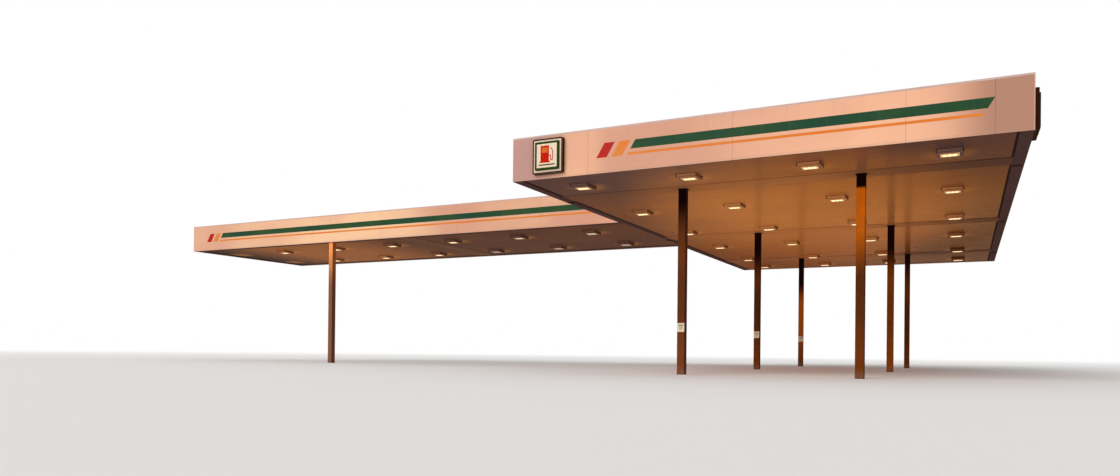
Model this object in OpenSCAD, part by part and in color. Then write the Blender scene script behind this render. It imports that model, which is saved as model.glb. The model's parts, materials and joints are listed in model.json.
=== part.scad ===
// Filling station canopy: a main roof on six square columns, and a link roof with one column
// of its own that runs off to the left. Steel frame, hanging pan deck, panel fascia.
// Origin at the foot of the front left column, X to the right, Y to the back, Z up.

/* [Main roof] */
// Width of the main roof across the front, outside the fascia
main_w = 12730; // [11000:10:15000]
// Length of the main roof from front to back, outside the fascia
main_l = 26440; // [25500:10:30000]
// Height of the fascia's lower edge above the ground
clear_h = 5420; // [4500:10:6500]

/* [Link roof] */
// Length of the link roof, from the main roof to its far end
link_l = 22963; // [20500:10:26000]
// Width of the link roof from front to back, outside the fascia
link_w = 7285; // [6600:10:9000]
// Distance from the main roof's front to the link roof's front
link_setback = 7698; // [5000:10:12000]
// Distance from the main roof to the link roof's column
link_column_reach = 14027; // [3000:10:17000]

/* [Columns] */
// Outside width of a square column
column_w = 229; // [200:1:280]
// Wall of a column
column_wall = 8; // [5:0.5:16]
// Outside radius of a column's corners
column_corner_r = 18; // [17:1:30]
// Thickness of the foot and cap plates
column_plate_t = 25; // [12:1:40]
// Distance from the left fascia to the left row of columns
column_left = 4040; // [3000:10:4800]
// Distance from the right row of columns to the right fascia
column_right = 3768; // [3000:1:4800]
// Distance from the front fascia to the front columns
column_front = 2986; // [2200:10:3500]
// Distance from the back columns to the back fascia
column_back = 4512; // [3600:1:5200]

/* [Steel frame] */
// Depth of the cross beams and girders
beam_h = 417; // [380:1:500]
// Width of their flanges
beam_flange_w = 180; // [150:1:200]
// Thickness of their flanges
beam_flange_t = 18; // [10:1:24]
// Thickness of their webs
beam_web_t = 11; // [6:1:16]
// Radius between their webs and flanges
beam_root_r = 18; // [8:1:22]
// Depth of the purlins
purlin_h = 310; // [200:1:320]
// Width of the purlins' flanges
purlin_flange_w = 165; // [100:1:200]
// Thickness of the purlins' flanges
purlin_flange_t = 10; // [6:1:14]
// Thickness of the purlins' webs
purlin_web_t = 6; // [4:1:10]
// Radius between the purlins' webs and flanges
purlin_root_r = 12; // [6:1:16]
// Distance from the side fascia to the first purlin line
purlin_inset = 700; // [450:10:1000]
// Distance from a row of columns out to the purlin line beside it
purlin_beside = 500; // [300:10:1200]
// Distance between the link roof's purlins
link_purlin_pitch = 3000; // [2400:10:3100]
// Thickness of end plates, stiffeners and fin plates
plate_t = 12; // [8:1:20]
// Length of the fin plates that the purlins are bolted to
fin_l = 110; // [80:1:160]
// Depth of the edge tubes
tube_h = 320; // [200:1:400]
// Width of the edge tubes
tube_w = 75; // [50:1:100]
// Wall of the edge tubes
tube_wall = 6; // [3:0.5:10]

/* [Deck] */
// Cover width of one pan
pan_w = 406; // [300:1:500]
// Thickness of the pans, gutters and strips
sheet_t = 1.5; // [1:0.1:3]
// Height of the ribs between the pans
rib_h = 76; // [60:1:100]
// Width of a rib's top
rib_top_w = 40; // [24:1:60]
// Width of the open seam between pans
seam_w = 6; // [4:1:10]
// Length of a pan before it needs a splice
pan_l = 12190; // [11000:10:12500]
// Drop from the pans to the gutters' underside
gutter_drop = 25; // [15:1:40]
// Distance from the fascia's face to a gutter's inner edge
gutter_w = 270; // [210:1:400]
// Length of pan that laps over a gutter
pan_lap = 20; // [5:1:40]
// Width of the strips under the beams
strip_w = 850; // [500:1:1000]
// Width of the link roof's edge strips inside its girders
edge_strip_w = 110; // [60:1:200]
// Drop from the pans to the strips' underside
strip_drop = 12; // [4:1:14]
// Distance between the hangers of the link roof's cross strip
strip_hanger_pitch = 1800; // [900:10:2500]
// Width of a hanger
strip_hanger_w = 60; // [40:1:100]
// Width of the trims under the pans' ends
end_trim_w = 50; // [30:1:80]
// Depth of the trims' inner lip
end_trim_lip = 12; // [6:1:20]
// Width of the brackets that cross under the gutters
bracket_w = 90; // [50:1:150]
// Depth of these brackets
bracket_h = 32; // [15:1:50]

/* [Fascia] */
// Height of the fascia
fascia_h = 1219; // [900:1:1400]
// Depth of a fascia panel's folded edge
panel_d = 50; // [30:1:80]
// Thickness of a fascia panel
panel_t = 4; // [3:0.5:6]
// Height of the lips behind a fascia panel
panel_lip = 32; // [20:1:60]
// Length of a whole fascia panel
panel_l = 3941; // [2400:1:4900]
// Shortest panel that may be left at the end of a row
panel_min = 650; // [300:1:1000]
// Width of the open joint between fascia panels
panel_gap = 4; // [2:0.5:8]
// Distance from the left corner to the front fascia's first joint
first_joint = 2338; // [1700:1:2600]
// Distance from the front fascia's last joint to the right corner
last_joint = 740; // [500:1:1500]
// Width of a square upright behind the fascia
upright_w = 50; // [30:1:60]
// Wall of an upright
upright_wall = 3; // [2:0.5:5]
// Greatest distance between uprights
upright_pitch = 2440; // [1800:10:3000]
// Height of the cap's outer leg
cap_leg = 45; // [25:1:80]
// Thickness of the cap
cap_t = 2; // [1:0.5:4]

/* [Signs] */
// Width of a sign cabinet
sign_w = 930; // [700:1:1200]
// Height of a sign cabinet
sign_h = 965; // [700:1:1000]
// Depth of a sign cabinet, with its face
sign_d = 155; // [100:1:200]
// Width of the rim around a sign's face
sign_rim = 36; // [30:1:40]
// Depth of the frame in front of a sign's face
sign_frame_d = 16; // [10:1:24]
// Distance from a cabinet's edge to its frame's
sign_frame_in = 8; // [4:1:20]
// Outside radius of a sign cabinet's corners
sign_corner_r = 42; // [42:1:140]
// Height of the raised middle of a sign's face above its border
sign_pan_d = 48; // [26:1:60]
// Distance from a cabinet's edge to the raised middle of its face
sign_pan_in = 92; // [75:1:150]
// Outside radius of the raised middle's corners
sign_pan_r = 24; // [12:1:60]
// Height of a sign cabinet above the fascia's lower edge
sign_up = 122; // [20:1:200]
// Distance from the front left corner to the front sign
sign_front_x = 692; // [300:1:3000]
// Distance from the front right corner to the side sign
sign_side_y = 610; // [200:1:1500]

/* [Lights] */
// Width of a square light
lamp_w = 580; // [400:1:600]
// Depth of a light's housing
lamp_h = 68; // [60:1:160]
// Width of the rim around a light's lens
lamp_rim = 75; // [30:1:90]
// Drop of a lens below its rim
lens_drop = 12; // [8:1:40]
// Width of the slanted border of a lens
lens_bevel = 60; // [30:1:120]
// Thickness of the rim frame
lamp_frame_t = 22; // [16:1:40]
// Distance from the left fascia to the first line of lights
lamp_left = 1580; // [1000:1:1800]
// Distance from the last line of lights to the right fascia
lamp_right = 1635; // [1000:1:1800]
// Gaps between the strips and the rows of lights before them, from the front
lamp_gaps_before = [945, 596, 257]; // [5:1:1200]
// Gaps between the strips and the rows of lights behind them, from the front
lamp_gaps_behind = [2385, 2554]; // [5:1:3500]
// Distance from the last row of lights to the back fascia
lamp_back = 1754; // [500:1:2000]
// Distance from the link roof's front to its front row of lights
link_lamp_front = 1860; // [1000:1:3000]
// Distance from the link roof's back row of lights to its back
link_lamp_back = 1800; // [1000:1:2500]
// Gap between the link roof's cross strip and the lights on its right
link_lamp_gap = 731; // [5:1:1500]
// Distance between lights along the link roof
link_lamp_pitch = 3345; // [3000:1:3500]

/* [Notices] */
// Width of a notice plate
notice_w = 215; // [150:1:228]
// Height of a notice plate
notice_h = 260; // [150:1:300]
// Thickness of a notice plate
notice_t = 3; // [2:0.5:6]
// Height of a notice plate's lower edge above the ground
notice_z = 1247; // [900:1:1800]

/* [Hidden] */

$fn = 48;
bronze = [0.16, 0.12, 0.10];
peach = [0.91, 0.67, 0.55];
cream = [0.90, 0.84, 0.74];
soffit_brown = [0.58, 0.36, 0.21];
steel_grey = [0.52, 0.53, 0.54];
lens_white = [1.0, 0.97, 0.88];

// Gap left between pieces that lie end to end in one node
joint = 2;
// Clearance around a column where it passes through a strip
column_gap = 3;
// Clearance around a sign's face
face_gap = 0.5;

// Levels
deck_z = clear_h + gutter_drop;
purlin_z = deck_z + rib_h;
beam_z = purlin_z - beam_flange_t;
strip_z = deck_z - strip_drop;
top_z = clear_h + fascia_h;

// Build-up behind the fascia's face: panel, then upright, then edge tube
upright_in = panel_d;
tube_in = panel_d + upright_w;
frame_in = tube_in + tube_w;

// Plan of the main roof
main_left = -column_left;
main_right = main_left + main_w;
main_front = -column_front;
main_back = main_front + main_l;
column_bay = (main_l - column_front - column_back) / 2;
column_xs = [0, main_w - column_left - column_right];
column_ys = [0, column_bay, 2 * column_bay];

// Plan of the link roof, whose girders stand against the uprights
link_front = main_front + link_setback;
link_back = link_front + link_w;
link_end = main_left - link_l;
girder_in = tube_in + beam_flange_w / 2;
link_column_x = main_left - link_column_reach;
link_strip_in = girder_in + beam_flange_w / 2 + edge_strip_w;
link_strip_x = link_end + gutter_w + pan_l + joint + strip_w / 2;

// Purlin lines: at the sides and beside the columns, with one between the columns
web_clear = beam_web_t / 2 + beam_root_r;
purlin_xs = [
    main_left + purlin_inset, -purlin_beside, column_xs[1] / 2, column_xs[1] + purlin_beside,
    main_right - purlin_inset
];
link_purlin_xs = places(
    link_end + purlin_inset, main_left - purlin_inset, link_strip_x, link_purlin_pitch
);

// Stretches of pans from front to back, broken at the strips under the beams
pan_starts = concat([main_front + panel_d], [for (y = column_ys) y + strip_w / 2 + joint]);
pan_ends = concat([for (y = column_ys) y - strip_w / 2 - joint], [main_back - panel_d]);

// Body of a sign behind its frame and the raised middle of its face
case_d = sign_d - sign_pan_d;

// Places of the lights: a row before and a row behind each of the main roof's strips
strip_to_lamp = (strip_w + lamp_w) / 2;
lamp_xs = [for (i = [0:3]) main_left + lamp_left + i * (main_w - lamp_left - lamp_right) / 3];
lamp_ys = concat(
    [for (k = [0:2]) column_ys[k] - strip_to_lamp - lamp_gaps_before[k]],
    [for (k = [0:1]) column_ys[k] + strip_to_lamp + lamp_gaps_behind[k]],
    [main_back - lamp_back]
);
link_lamp_xs = places(
    link_end + link_lamp_pitch / 2, main_left - link_lamp_pitch / 2,
    link_strip_x + strip_to_lamp + link_lamp_gap, link_lamp_pitch
);
lamp_spots = concat(
    [for (x = lamp_xs) for (y = lamp_ys) [x, y]],
    [for (x = link_lamp_xs) for (y = [link_front + link_lamp_front, link_back - link_lamp_back])
        [x, y]]
);

// Evenly spaced places from a to b, no further apart than the pitch
function spread(a, b, pitch) =
    let (n = ceil((b - a) / pitch)) [for (i = [0:n]) a + i * (b - a) / n];

// The same places without the two ends
function spread_inside(a, b, pitch) =
    let (n = ceil((b - a) / pitch)) [for (i = [1:n - 1]) a + i * (b - a) / n];

// All places from a to b that lie a whole number of pitches from the start
function places(a, b, start, pitch) =
    [for (k = [ceil((a - start) / pitch):floor((b - start) / pitch)]) start + k * pitch];

// Joints of a row of panels: whole panels from a, and what is left up to b
function panel_joints(a, b) = concat([for (x = [a:panel_l:b - panel_min]) x], [b]);

// Extrudes an outline whose x runs along Y and whose y runs up
module along_x(length) {
    rotate([90, 0, 90]) linear_extrude(length) children();
}

// Extrudes an outline whose x runs along X and whose y runs up
module along_y(length) {
    translate([0, length, 0]) rotate([90, 0, 0]) linear_extrude(length) children();
}

// Square with round corners, made of squares and circles so that it stays exact
module round_square(w, h, r) {
    translate([r, 0]) square([w - 2 * r, h]);
    translate([0, r]) square([w, h - 2 * r]);
    for (x = [r, w - r]) for (y = [r, h - r]) translate([x, y]) circle(r);
}

// Fillet in the corner of two lines that run along +x and +y
module fillet(r) {
    difference() {
        square(r);
        translate([r, r]) circle(r);
    }
}

// Outline of a rolled I section that stands on y = 0, with its root fillets
module i_section(h, flange_w, flange_t, web_t, root_r) {
    translate([-flange_w / 2, 0]) square([flange_w, flange_t]);
    translate([-flange_w / 2, h - flange_t]) square([flange_w, flange_t]);
    translate([-web_t / 2, 0]) square([web_t, h]);
    for (flip = [0, 1]) mirror([flip, 0]) {
        translate([web_t / 2, flange_t]) fillet(root_r);
        translate([web_t / 2, h - flange_t]) mirror([0, 1]) fillet(root_r);
    }
}

module beam_section() {
    i_section(beam_h, beam_flange_w, beam_flange_t, beam_web_t, beam_root_r);
}

module purlin_section() {
    i_section(purlin_h, purlin_flange_w, purlin_flange_t, purlin_web_t, purlin_root_r);
}

// Beam along X with an end plate at each end
module beam_along_x(length) {
    along_x(length) beam_section();
    for (x = [0, length - plate_t]) {
        translate([x, -beam_flange_w / 2, 0]) cube([plate_t, beam_flange_w, beam_h]);
    }
}

// Fin plates that stand out along Y from a beam's web, one against the web of each purlin
module fin_plates(xs, side) {
    root = purlin_flange_t + purlin_root_r;
    start = side > 0 ? 0 : -fin_l - beam_web_t / 2;
    for (x = xs) {
        translate([x + purlin_web_t / 2, start, beam_flange_t + root])
            cube([plate_t, fin_l + beam_web_t / 2, purlin_h - 2 * root]);
    }
}

// Outline of a rectangular tube
module tube_outline(w, h, wall) {
    difference() {
        square([w, h]);
        translate([wall, wall]) square([w - 2 * wall, h - 2 * wall]);
    }
}

// Column: a tube closed by a foot plate, and by a cap plate with a hole for the rain pipe
module column(x, y) {
    inner = column_w - 2 * column_wall;
    translate([x - column_w / 2, y - column_w / 2, 0])
    difference() {
        linear_extrude(beam_z) round_square(column_w, column_w, column_corner_r);
        translate([column_wall, column_wall, column_plate_t])
            linear_extrude(beam_z - 2 * column_plate_t)
                round_square(inner, inner, column_corner_r - column_wall);
        translate([column_w / 2, column_w / 2, beam_z - 2 * column_plate_t])
            cylinder(h = 3 * column_plate_t, r = inner / 4);
    }
}

module column_front_left() {
    color(bronze) column(column_xs[0], column_ys[0]);
}

module column_front_right() {
    color(bronze) column(column_xs[1], column_ys[0]);
}

module column_middle_left() {
    color(bronze) column(column_xs[0], column_ys[1]);
}

module column_middle_right() {
    color(bronze) column(column_xs[1], column_ys[1]);
}

module column_back_left() {
    color(bronze) column(column_xs[0], column_ys[2]);
}

module column_back_right() {
    color(bronze) column(column_xs[1], column_ys[2]);
}

module column_link() {
    color(bronze) column(link_column_x, link_front + girder_in);
}

// Plates on the front faces of the left row of columns
module notice_plates() {
    color(cream)
    for (y = column_ys) {
        translate([-notice_w / 2, y - column_w / 2 - notice_t, notice_z])
            cube([notice_w, notice_t, notice_h]);
    }
}

// Stiffeners between a beam's flanges, over both walls of each column, from y0 to the front
// edge of the flanges
module column_stiffeners(xs, y0) {
    for (x = xs) for (side = [-1, 1]) {
        translate([x + side * (column_w - column_wall) / 2 - plate_t / 2, -beam_flange_w / 2, 0])
            cube([plate_t, y0 + beam_flange_w / 2, beam_h]);
    }
}

// One beam over each pair of columns
module cross_beams() {
    color(steel_grey)
    for (y = column_ys) {
        translate([main_left + frame_in, y, beam_z]) beam_along_x(main_w - 2 * frame_in);
        translate([0, y, beam_z]) {
            column_stiffeners(column_xs, beam_flange_w / 2);
            for (side = [-1, 1]) fin_plates(purlin_xs, side);
        }
    }
}

// Purlins seated on the beams' lower flanges, clear of the roots of their webs
module purlins() {
    starts = concat([main_front + frame_in], [for (y = column_ys) y + web_clear]);
    ends = concat([for (y = column_ys) y - web_clear], [main_back - frame_in]);
    color(steel_grey)
    for (x = purlin_xs) for (k = [0:len(starts) - 1]) {
        translate([x, starts[k], purlin_z]) along_y(ends[k] - starts[k]) purlin_section();
    }
}

module edge_tube_x(y) {
    color(steel_grey)
    translate([main_left + frame_in, y, beam_z])
        along_x(main_w - 2 * frame_in) tube_outline(tube_w, tube_h, tube_wall);
}

module edge_tube_y(x) {
    color(steel_grey)
    translate([x, main_front + tube_in, beam_z])
        along_y(main_l - 2 * tube_in) tube_outline(tube_w, tube_h, tube_wall);
}

module edge_tube_front() {
    edge_tube_x(main_front + tube_in);
}

module edge_tube_back() {
    edge_tube_x(main_back - frame_in);
}

module edge_tube_left() {
    edge_tube_y(main_left + tube_in);
}

module edge_tube_right() {
    edge_tube_y(main_right - frame_in);
}

// Outline of a stretch of pans side by side, with a hollow rib over each seam
module pan_outline(span) {
    n = round(span / pan_w);
    w = span / n;
    edge_h = beam_z - deck_z;
    for (i = [0:n - 1]) {
        from = i == 0 ? 0 : i * w + seam_w / 2;
        to = i == n - 1 ? span : (i + 1) * w - seam_w / 2;
        translate([from, 0]) square([to - from, sheet_t]);
    }
    for (i = [1:n - 1]) {
        translate([i * w - seam_w / 2 - sheet_t, 0]) square([sheet_t, rib_h]);
        translate([i * w + seam_w / 2, 0]) square([sheet_t, rib_h]);
        translate([i * w - rib_top_w / 2, rib_h - sheet_t]) square([rib_top_w, sheet_t]);
    }
    for (x = [0, span - sheet_t]) translate([x, 0]) square([sheet_t, edge_h]);
}

module pans(x0, x1, y0, y1) {
    translate([x0, y0, deck_z]) along_x(x1 - x0) pan_outline(y1 - y0);
}

module deck_pans() {
    x0 = main_left + gutter_w - pan_lap;
    x1 = main_right - gutter_w + pan_lap;
    color(soffit_brown)
    for (k = [0:len(pan_starts) - 1]) pans(x0, x1, pan_starts[k], pan_ends[k]);
}

// Trim along Y under the pans' ends, from a gutter's inner edge to its own lip
module end_trim(length) {
    along_y(length) {
        translate([0, -sheet_t]) square([end_trim_w, sheet_t]);
        translate([end_trim_w - sheet_t, -end_trim_lip]) square([sheet_t, end_trim_lip]);
    }
}

module deck_end_trims() {
    link_y0 = link_front + link_strip_in + joint;
    color(bronze) {
        for (k = [0:len(pan_starts) - 1]) {
            length = pan_ends[k] - pan_starts[k];
            translate([main_left + gutter_w, pan_starts[k], deck_z]) end_trim(length);
            translate([main_right - gutter_w, pan_starts[k], deck_z])
                mirror([1, 0, 0]) end_trim(length);
        }
        translate([link_end + gutter_w, link_y0, deck_z])
            end_trim(link_w - 2 * (link_strip_in + joint));
    }
}

// Folded strip: a floor and two legs, which may differ in height
module strip_outline(w, leg_a, leg_b) {
    square([w, sheet_t]);
    square([sheet_t, leg_a]);
    translate([w - sheet_t, 0]) square([sheet_t, leg_b]);
}

// Hole for a column in a strip
module column_hole(x, y) {
    w = column_w + 2 * column_gap;
    translate([x - w / 2, y - w / 2, strip_z - joint])
        linear_extrude(strip_drop) round_square(w, w, column_corner_r + column_gap);
}

// Strips under the cross beams, cut out around the columns
module beam_strips() {
    leg = purlin_z - strip_z;
    color(soffit_brown)
    for (y = column_ys) {
        difference() {
            translate([main_left + gutter_w, y - strip_w / 2, strip_z])
                along_x(main_w - 2 * gutter_w) strip_outline(strip_w, leg, leg);
            for (x = column_xs) column_hole(x, y);
        }
    }
}

// Gutter outline from the back of the fascia panel inwards, hung by its top flange
module gutter_outline() {
    h = beam_z - clear_h;
    translate([panel_d, 0]) square([gutter_w - panel_d, sheet_t]);
    translate([panel_d, 0]) square([sheet_t, h]);
    translate([panel_d, h - sheet_t]) square([frame_in - panel_d, sheet_t]);
    translate([gutter_w - sheet_t, 0]) square([sheet_t, gutter_drop]);
}

// Gutter along Y with closed ends
module gutter(length) {
    along_y(length) gutter_outline();
    for (y = [0, length - sheet_t]) {
        translate([panel_d, y, 0]) cube([gutter_w - panel_d, sheet_t, gutter_drop]);
    }
}

// Brackets across the undersides of the side gutters, behind each row of columns
module gutter_brackets() {
    length = gutter_w - panel_d;
    color(bronze)
    for (y = column_ys) for (x = [main_left + panel_d, main_right - gutter_w]) {
        translate([x, y + strip_w / 2, clear_h - bracket_h])
            along_x(length) {
                translate([0, bracket_h - panel_t]) square([bracket_w, panel_t]);
                square([panel_t, bracket_h]);
            }
    }
}

module gutter_left() {
    color(soffit_brown)
    translate([main_left, main_front + panel_d, clear_h]) gutter(main_l - 2 * panel_d);
}

module gutter_right() {
    color(soffit_brown)
    translate([main_right, main_front + panel_d, clear_h])
        mirror([1, 0, 0]) gutter(main_l - 2 * panel_d);
}

// Square tube that stands behind the fascia, centred on x and y
module upright(x, y) {
    translate([x - upright_w / 2, y - upright_w / 2, beam_z])
        linear_extrude(top_z - beam_z) tube_outline(upright_w, upright_w, upright_wall);
}

module fascia_uprights() {
    mid = upright_in + upright_w / 2;
    color(steel_grey) {
        for (x = spread(main_left + mid, main_right - mid, upright_pitch)) {
            upright(x, main_front + mid);
            upright(x, main_back - mid);
        }
        for (y = spread_inside(main_front + mid, main_back - mid, upright_pitch)) {
            upright(main_right - mid, y);
            if (y + upright_w < link_front || y - upright_w > link_back) upright(main_left + mid, y);
        }
    }
}

// Folded fascia panel along X: face at y = 0, edges folded back and lips turned in
module fascia_panel(length) {
    difference() {
        cube([length, panel_d, fascia_h]);
        translate([panel_t, panel_t, panel_t])
            cube([length - 2 * panel_t, panel_d, fascia_h - 2 * panel_t]);
    }
    for (z = [0, fascia_h - panel_lip]) {
        translate([0, panel_d - panel_t, z]) cube([length, panel_t, panel_lip]);
    }
}

// Places a panel or cap for one side: its left end seen from outside, and its heading
module side_at(x, y, turn) {
    translate([x, y, 0]) rotate([0, 0, turn]) children();
}

// Row of panels from the first joint to the last, with an open gap at each one between
module panels_at(x, y, turn, joints) {
    last = len(joints) - 1;
    color(peach) side_at(x, y, turn)
    for (i = [1:last]) {
        from = joints[i - 1] + (i == 1 ? 0 : panel_gap / 2);
        to = joints[i] - (i == last ? 0 : panel_gap / 2);
        translate([from, 0, clear_h]) fascia_panel(to - from);
    }
}

module fascia_front() {
    inner = panel_joints(first_joint, main_w - last_joint);
    panels_at(main_left, main_front, 0, concat([0], inner, [main_w]));
}

module fascia_right() {
    panels_at(main_right, main_front + panel_d, 90, panel_joints(0, main_l - 2 * panel_d));
}

module fascia_back() {
    panels_at(main_right, main_back, 180, panel_joints(0, main_w));
}

module fascia_left_front() {
    panels_at(main_left, link_front + panel_d, -90, panel_joints(0, link_setback));
}

module fascia_left_back() {
    panels_at(main_left, main_back - panel_d, -90, panel_joints(0, main_back - link_back));
}

module link_fascia_front() {
    panels_at(link_end, link_front, 0, panel_joints(0, link_l));
}

module link_fascia_back() {
    panels_at(main_left, link_back, 180, panel_joints(0, link_l));
}

module link_fascia_end() {
    panels_at(link_end, link_back - panel_d, -90, panel_joints(0, link_w - 2 * panel_d));
}

// Cap over the fascia and uprights, along X: a top plate, an outer leg and an inner leg
module cap(length) {
    inner = tube_in + cap_t;
    along_x(length)
    union() {
        translate([-cap_t, 0]) square([inner + cap_t, cap_t]);
        translate([-cap_t, cap_t - cap_leg]) square([cap_t, cap_leg]);
        translate([inner - cap_t, cap_t - cap_leg]) square([cap_t, cap_leg]);
    }
}

module cap_at(x, y, turn, length) {
    side_at(x, y, turn) translate([0, 0, top_z]) cap(length);
}

module fascia_caps() {
    start = tube_in + cap_t + joint;
    color(peach) {
        cap_at(main_left - cap_t, main_front, 0, main_w + 2 * cap_t);
        cap_at(main_right, main_front + start, 90, main_l - 2 * start);
        cap_at(main_right + cap_t, main_back, 180, main_w + 2 * cap_t);
        cap_at(main_left, link_front + tube_in, -90, link_setback + tube_in - start);
        cap_at(main_left, main_back - start, -90, main_back - link_back + tube_in - start);
    }
}

module link_caps() {
    start = tube_in + cap_t + joint;
    color(peach) {
        cap_at(link_end - cap_t, link_front, 0, link_l);
        cap_at(main_left - cap_t, link_back, 180, link_l);
        cap_at(link_end, link_back - start, -90, link_w - 2 * start);
    }
}

// Girders along the link roof's front and back, from its end tube to the main edge tube
module link_girders() {
    from = link_end + frame_in;
    color(steel_grey)
    for (y = [link_front + girder_in, link_back - girder_in]) {
        translate([from, y, beam_z]) beam_along_x(main_left + tube_in - from);
    }
    color(steel_grey) {
        translate([0, link_front + girder_in, beam_z]) {
            column_stiffeners([link_column_x], 0);
            fin_plates(link_purlin_xs, 1);
        }
        translate([0, link_back - girder_in, beam_z]) fin_plates(link_purlin_xs, -1);
    }
}

// Purlins across the link roof, and the hangers of the cross strip under the one above it
module link_cross_purlins() {
    inset = girder_in + web_clear;
    color(steel_grey) {
        for (x = link_purlin_xs) {
            translate([x, link_front + inset, purlin_z])
                along_y(link_w - 2 * inset) purlin_section();
        }
        for (y = spread_inside(link_front + inset, link_back - inset, strip_hanger_pitch)) {
            translate([link_strip_x - strip_w / 2, y, purlin_z - plate_t])
                cube([strip_w, strip_hanger_w, plate_t]);
        }
    }
}

module link_end_tube() {
    color(steel_grey)
    translate([link_end + tube_in, link_front + tube_in, beam_z])
        along_y(link_w - 2 * tube_in) tube_outline(tube_w, tube_h, tube_wall);
}

// Pans of the link roof on both sides of its cross strip, up to the main roof's gutter
module link_deck_pans() {
    y0 = link_front + link_strip_in + joint;
    y1 = link_back - link_strip_in - joint;
    half = strip_w / 2 + joint;
    color(soffit_brown) {
        pans(link_end + gutter_w - pan_lap, link_strip_x - half, y0, y1);
        pans(link_strip_x + half, main_left + panel_d, y0, y1);
    }
}

// Strips under the link roof's girders, the front one cut out around the column
module link_edge_strips() {
    w = link_strip_in - panel_d;
    x0 = link_end + gutter_w;
    length = main_left + panel_d - x0;
    outer_leg = beam_z - strip_z;
    inner_leg = purlin_z - strip_z;
    color(soffit_brown) {
        difference() {
            translate([x0, link_front + panel_d, strip_z])
                along_x(length) strip_outline(w, outer_leg, inner_leg);
            column_hole(link_column_x, link_front + girder_in);
        }
        translate([x0, link_back - link_strip_in, strip_z])
            along_x(length) strip_outline(w, inner_leg, outer_leg);
    }
}

// Strip across the link roof between its two stretches of pans, hung from the purlin above
module link_cross_strip() {
    leg = purlin_z - plate_t - strip_z;
    color(soffit_brown)
    translate([link_strip_x - strip_w / 2, link_front + link_strip_in + joint, strip_z])
        along_y(link_w - 2 * (link_strip_in + joint)) strip_outline(strip_w, leg, leg);
}

module link_gutter() {
    color(soffit_brown)
    translate([link_end, link_front + panel_d, clear_h]) gutter(link_w - 2 * panel_d);
}

module link_uprights() {
    mid = upright_in + upright_w / 2;
    color(steel_grey) {
        for (x = spread(link_end + mid, main_left - mid, upright_pitch)) {
            upright(x, link_front + mid);
            upright(x, link_back - mid);
        }
        for (y = spread_inside(link_front + mid, link_back - mid, upright_pitch)) {
            upright(link_end + mid, y);
        }
    }
}

// Sign cabinet with its back on y = 0, open towards -y
module sign_cabinet() {
    wall = panel_t;
    w = sign_w - 2 * wall;
    h = sign_h - 2 * wall;
    rotate([90, 0, 0])
    difference() {
        linear_extrude(case_d) round_square(sign_w, sign_h, sign_corner_r);
        translate([wall, wall, wall])
            linear_extrude(case_d) round_square(w, h, sign_corner_r - wall);
    }
}

// Plate with the outline of a cabinet drawn in on all sides, its back at a depth from the wall
module sign_plate(inset, r, depth, thickness) {
    translate([inset, -depth, inset])
    rotate([90, 0, 0])
        linear_extrude(thickness) round_square(sign_w - 2 * inset, sign_h - 2 * inset, r);
}

// Formed face that closes a cabinet's mouth, hollow behind its raised middle
module sign_face() {
    edge = panel_t + face_gap;
    back = case_d - panel_t;
    difference() {
        union() {
            sign_plate(edge, sign_corner_r - edge, back, panel_t);
            sign_plate(sign_pan_in, sign_pan_r, back, sign_pan_d + panel_t);
        }
        sign_plate(sign_pan_in + panel_t, sign_pan_r - panel_t, back - panel_t, sign_pan_d + panel_t);
    }
}

// Frame over the face's edge and the cabinet's
module sign_frame() {
    w = sign_w - 2 * sign_frame_in;
    h = sign_h - 2 * sign_frame_in;
    rim = sign_rim - sign_frame_in;
    translate([sign_frame_in, -case_d, sign_frame_in])
    rotate([90, 0, 0])
    difference() {
        linear_extrude(sign_frame_d) round_square(w, h, sign_corner_r - sign_frame_in);
        translate([rim, rim, -sign_frame_d])
            linear_extrude(3 * sign_frame_d)
                round_square(w - 2 * rim, h - 2 * rim, sign_corner_r - sign_rim);
    }
}

// The two places for a sign: on the front near the left, on the right side near the front
module sign_places() {
    z = clear_h + sign_up;
    side_at(main_left + sign_front_x, main_front, 0) translate([0, 0, z]) children();
    side_at(main_right, main_front + sign_side_y, 90) translate([0, 0, z]) children();
}

module sign_cabinets() {
    color(bronze) sign_places() sign_cabinet();
}

module sign_faces() {
    color(cream) sign_places() sign_face();
}

module sign_frames() {
    color(bronze) sign_places() sign_frame();
}

// Light housing: a shallow box, open below, with its top against the pans
module light_housings() {
    color(bronze)
    for (p = lamp_spots) {
        translate([p[0] - lamp_w / 2, p[1] - lamp_w / 2, deck_z - lamp_h])
        difference() {
            cube([lamp_w, lamp_w, lamp_h]);
            translate([sheet_t, sheet_t, -sheet_t])
                cube([lamp_w - 2 * sheet_t, lamp_w - 2 * sheet_t, lamp_h]);
        }
    }
}

// Rim frame that closes a housing round its lens
module light_frames() {
    hole = lamp_w - 2 * lamp_rim;
    color(bronze)
    for (p = lamp_spots) {
        translate([p[0] - lamp_w / 2, p[1] - lamp_w / 2, deck_z - lamp_h - lamp_frame_t])
        difference() {
            cube([lamp_w, lamp_w, lamp_frame_t]);
            translate([lamp_rim, lamp_rim, -lamp_frame_t]) cube([hole, hole, 3 * lamp_frame_t]);
        }
    }
}

// Outline of a drop lens: straight walls above y = 0, slanted ones below, and a flat bottom
module lens_outline(w, h) {
    polygon([
        [-w / 2, h], [-w / 2, 0], [lens_bevel - w / 2, -lens_drop],
        [w / 2 - lens_bevel, -lens_drop], [w / 2, 0], [w / 2, h]
    ]);
}

// Square block with that outline in both directions
module lens_block(w, h) {
    intersection() {
        translate([-w / 2, 0, 0]) along_x(w) lens_outline(w, h);
        translate([0, -w / 2, 0]) along_y(w) lens_outline(w, h);
    }
}

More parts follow.
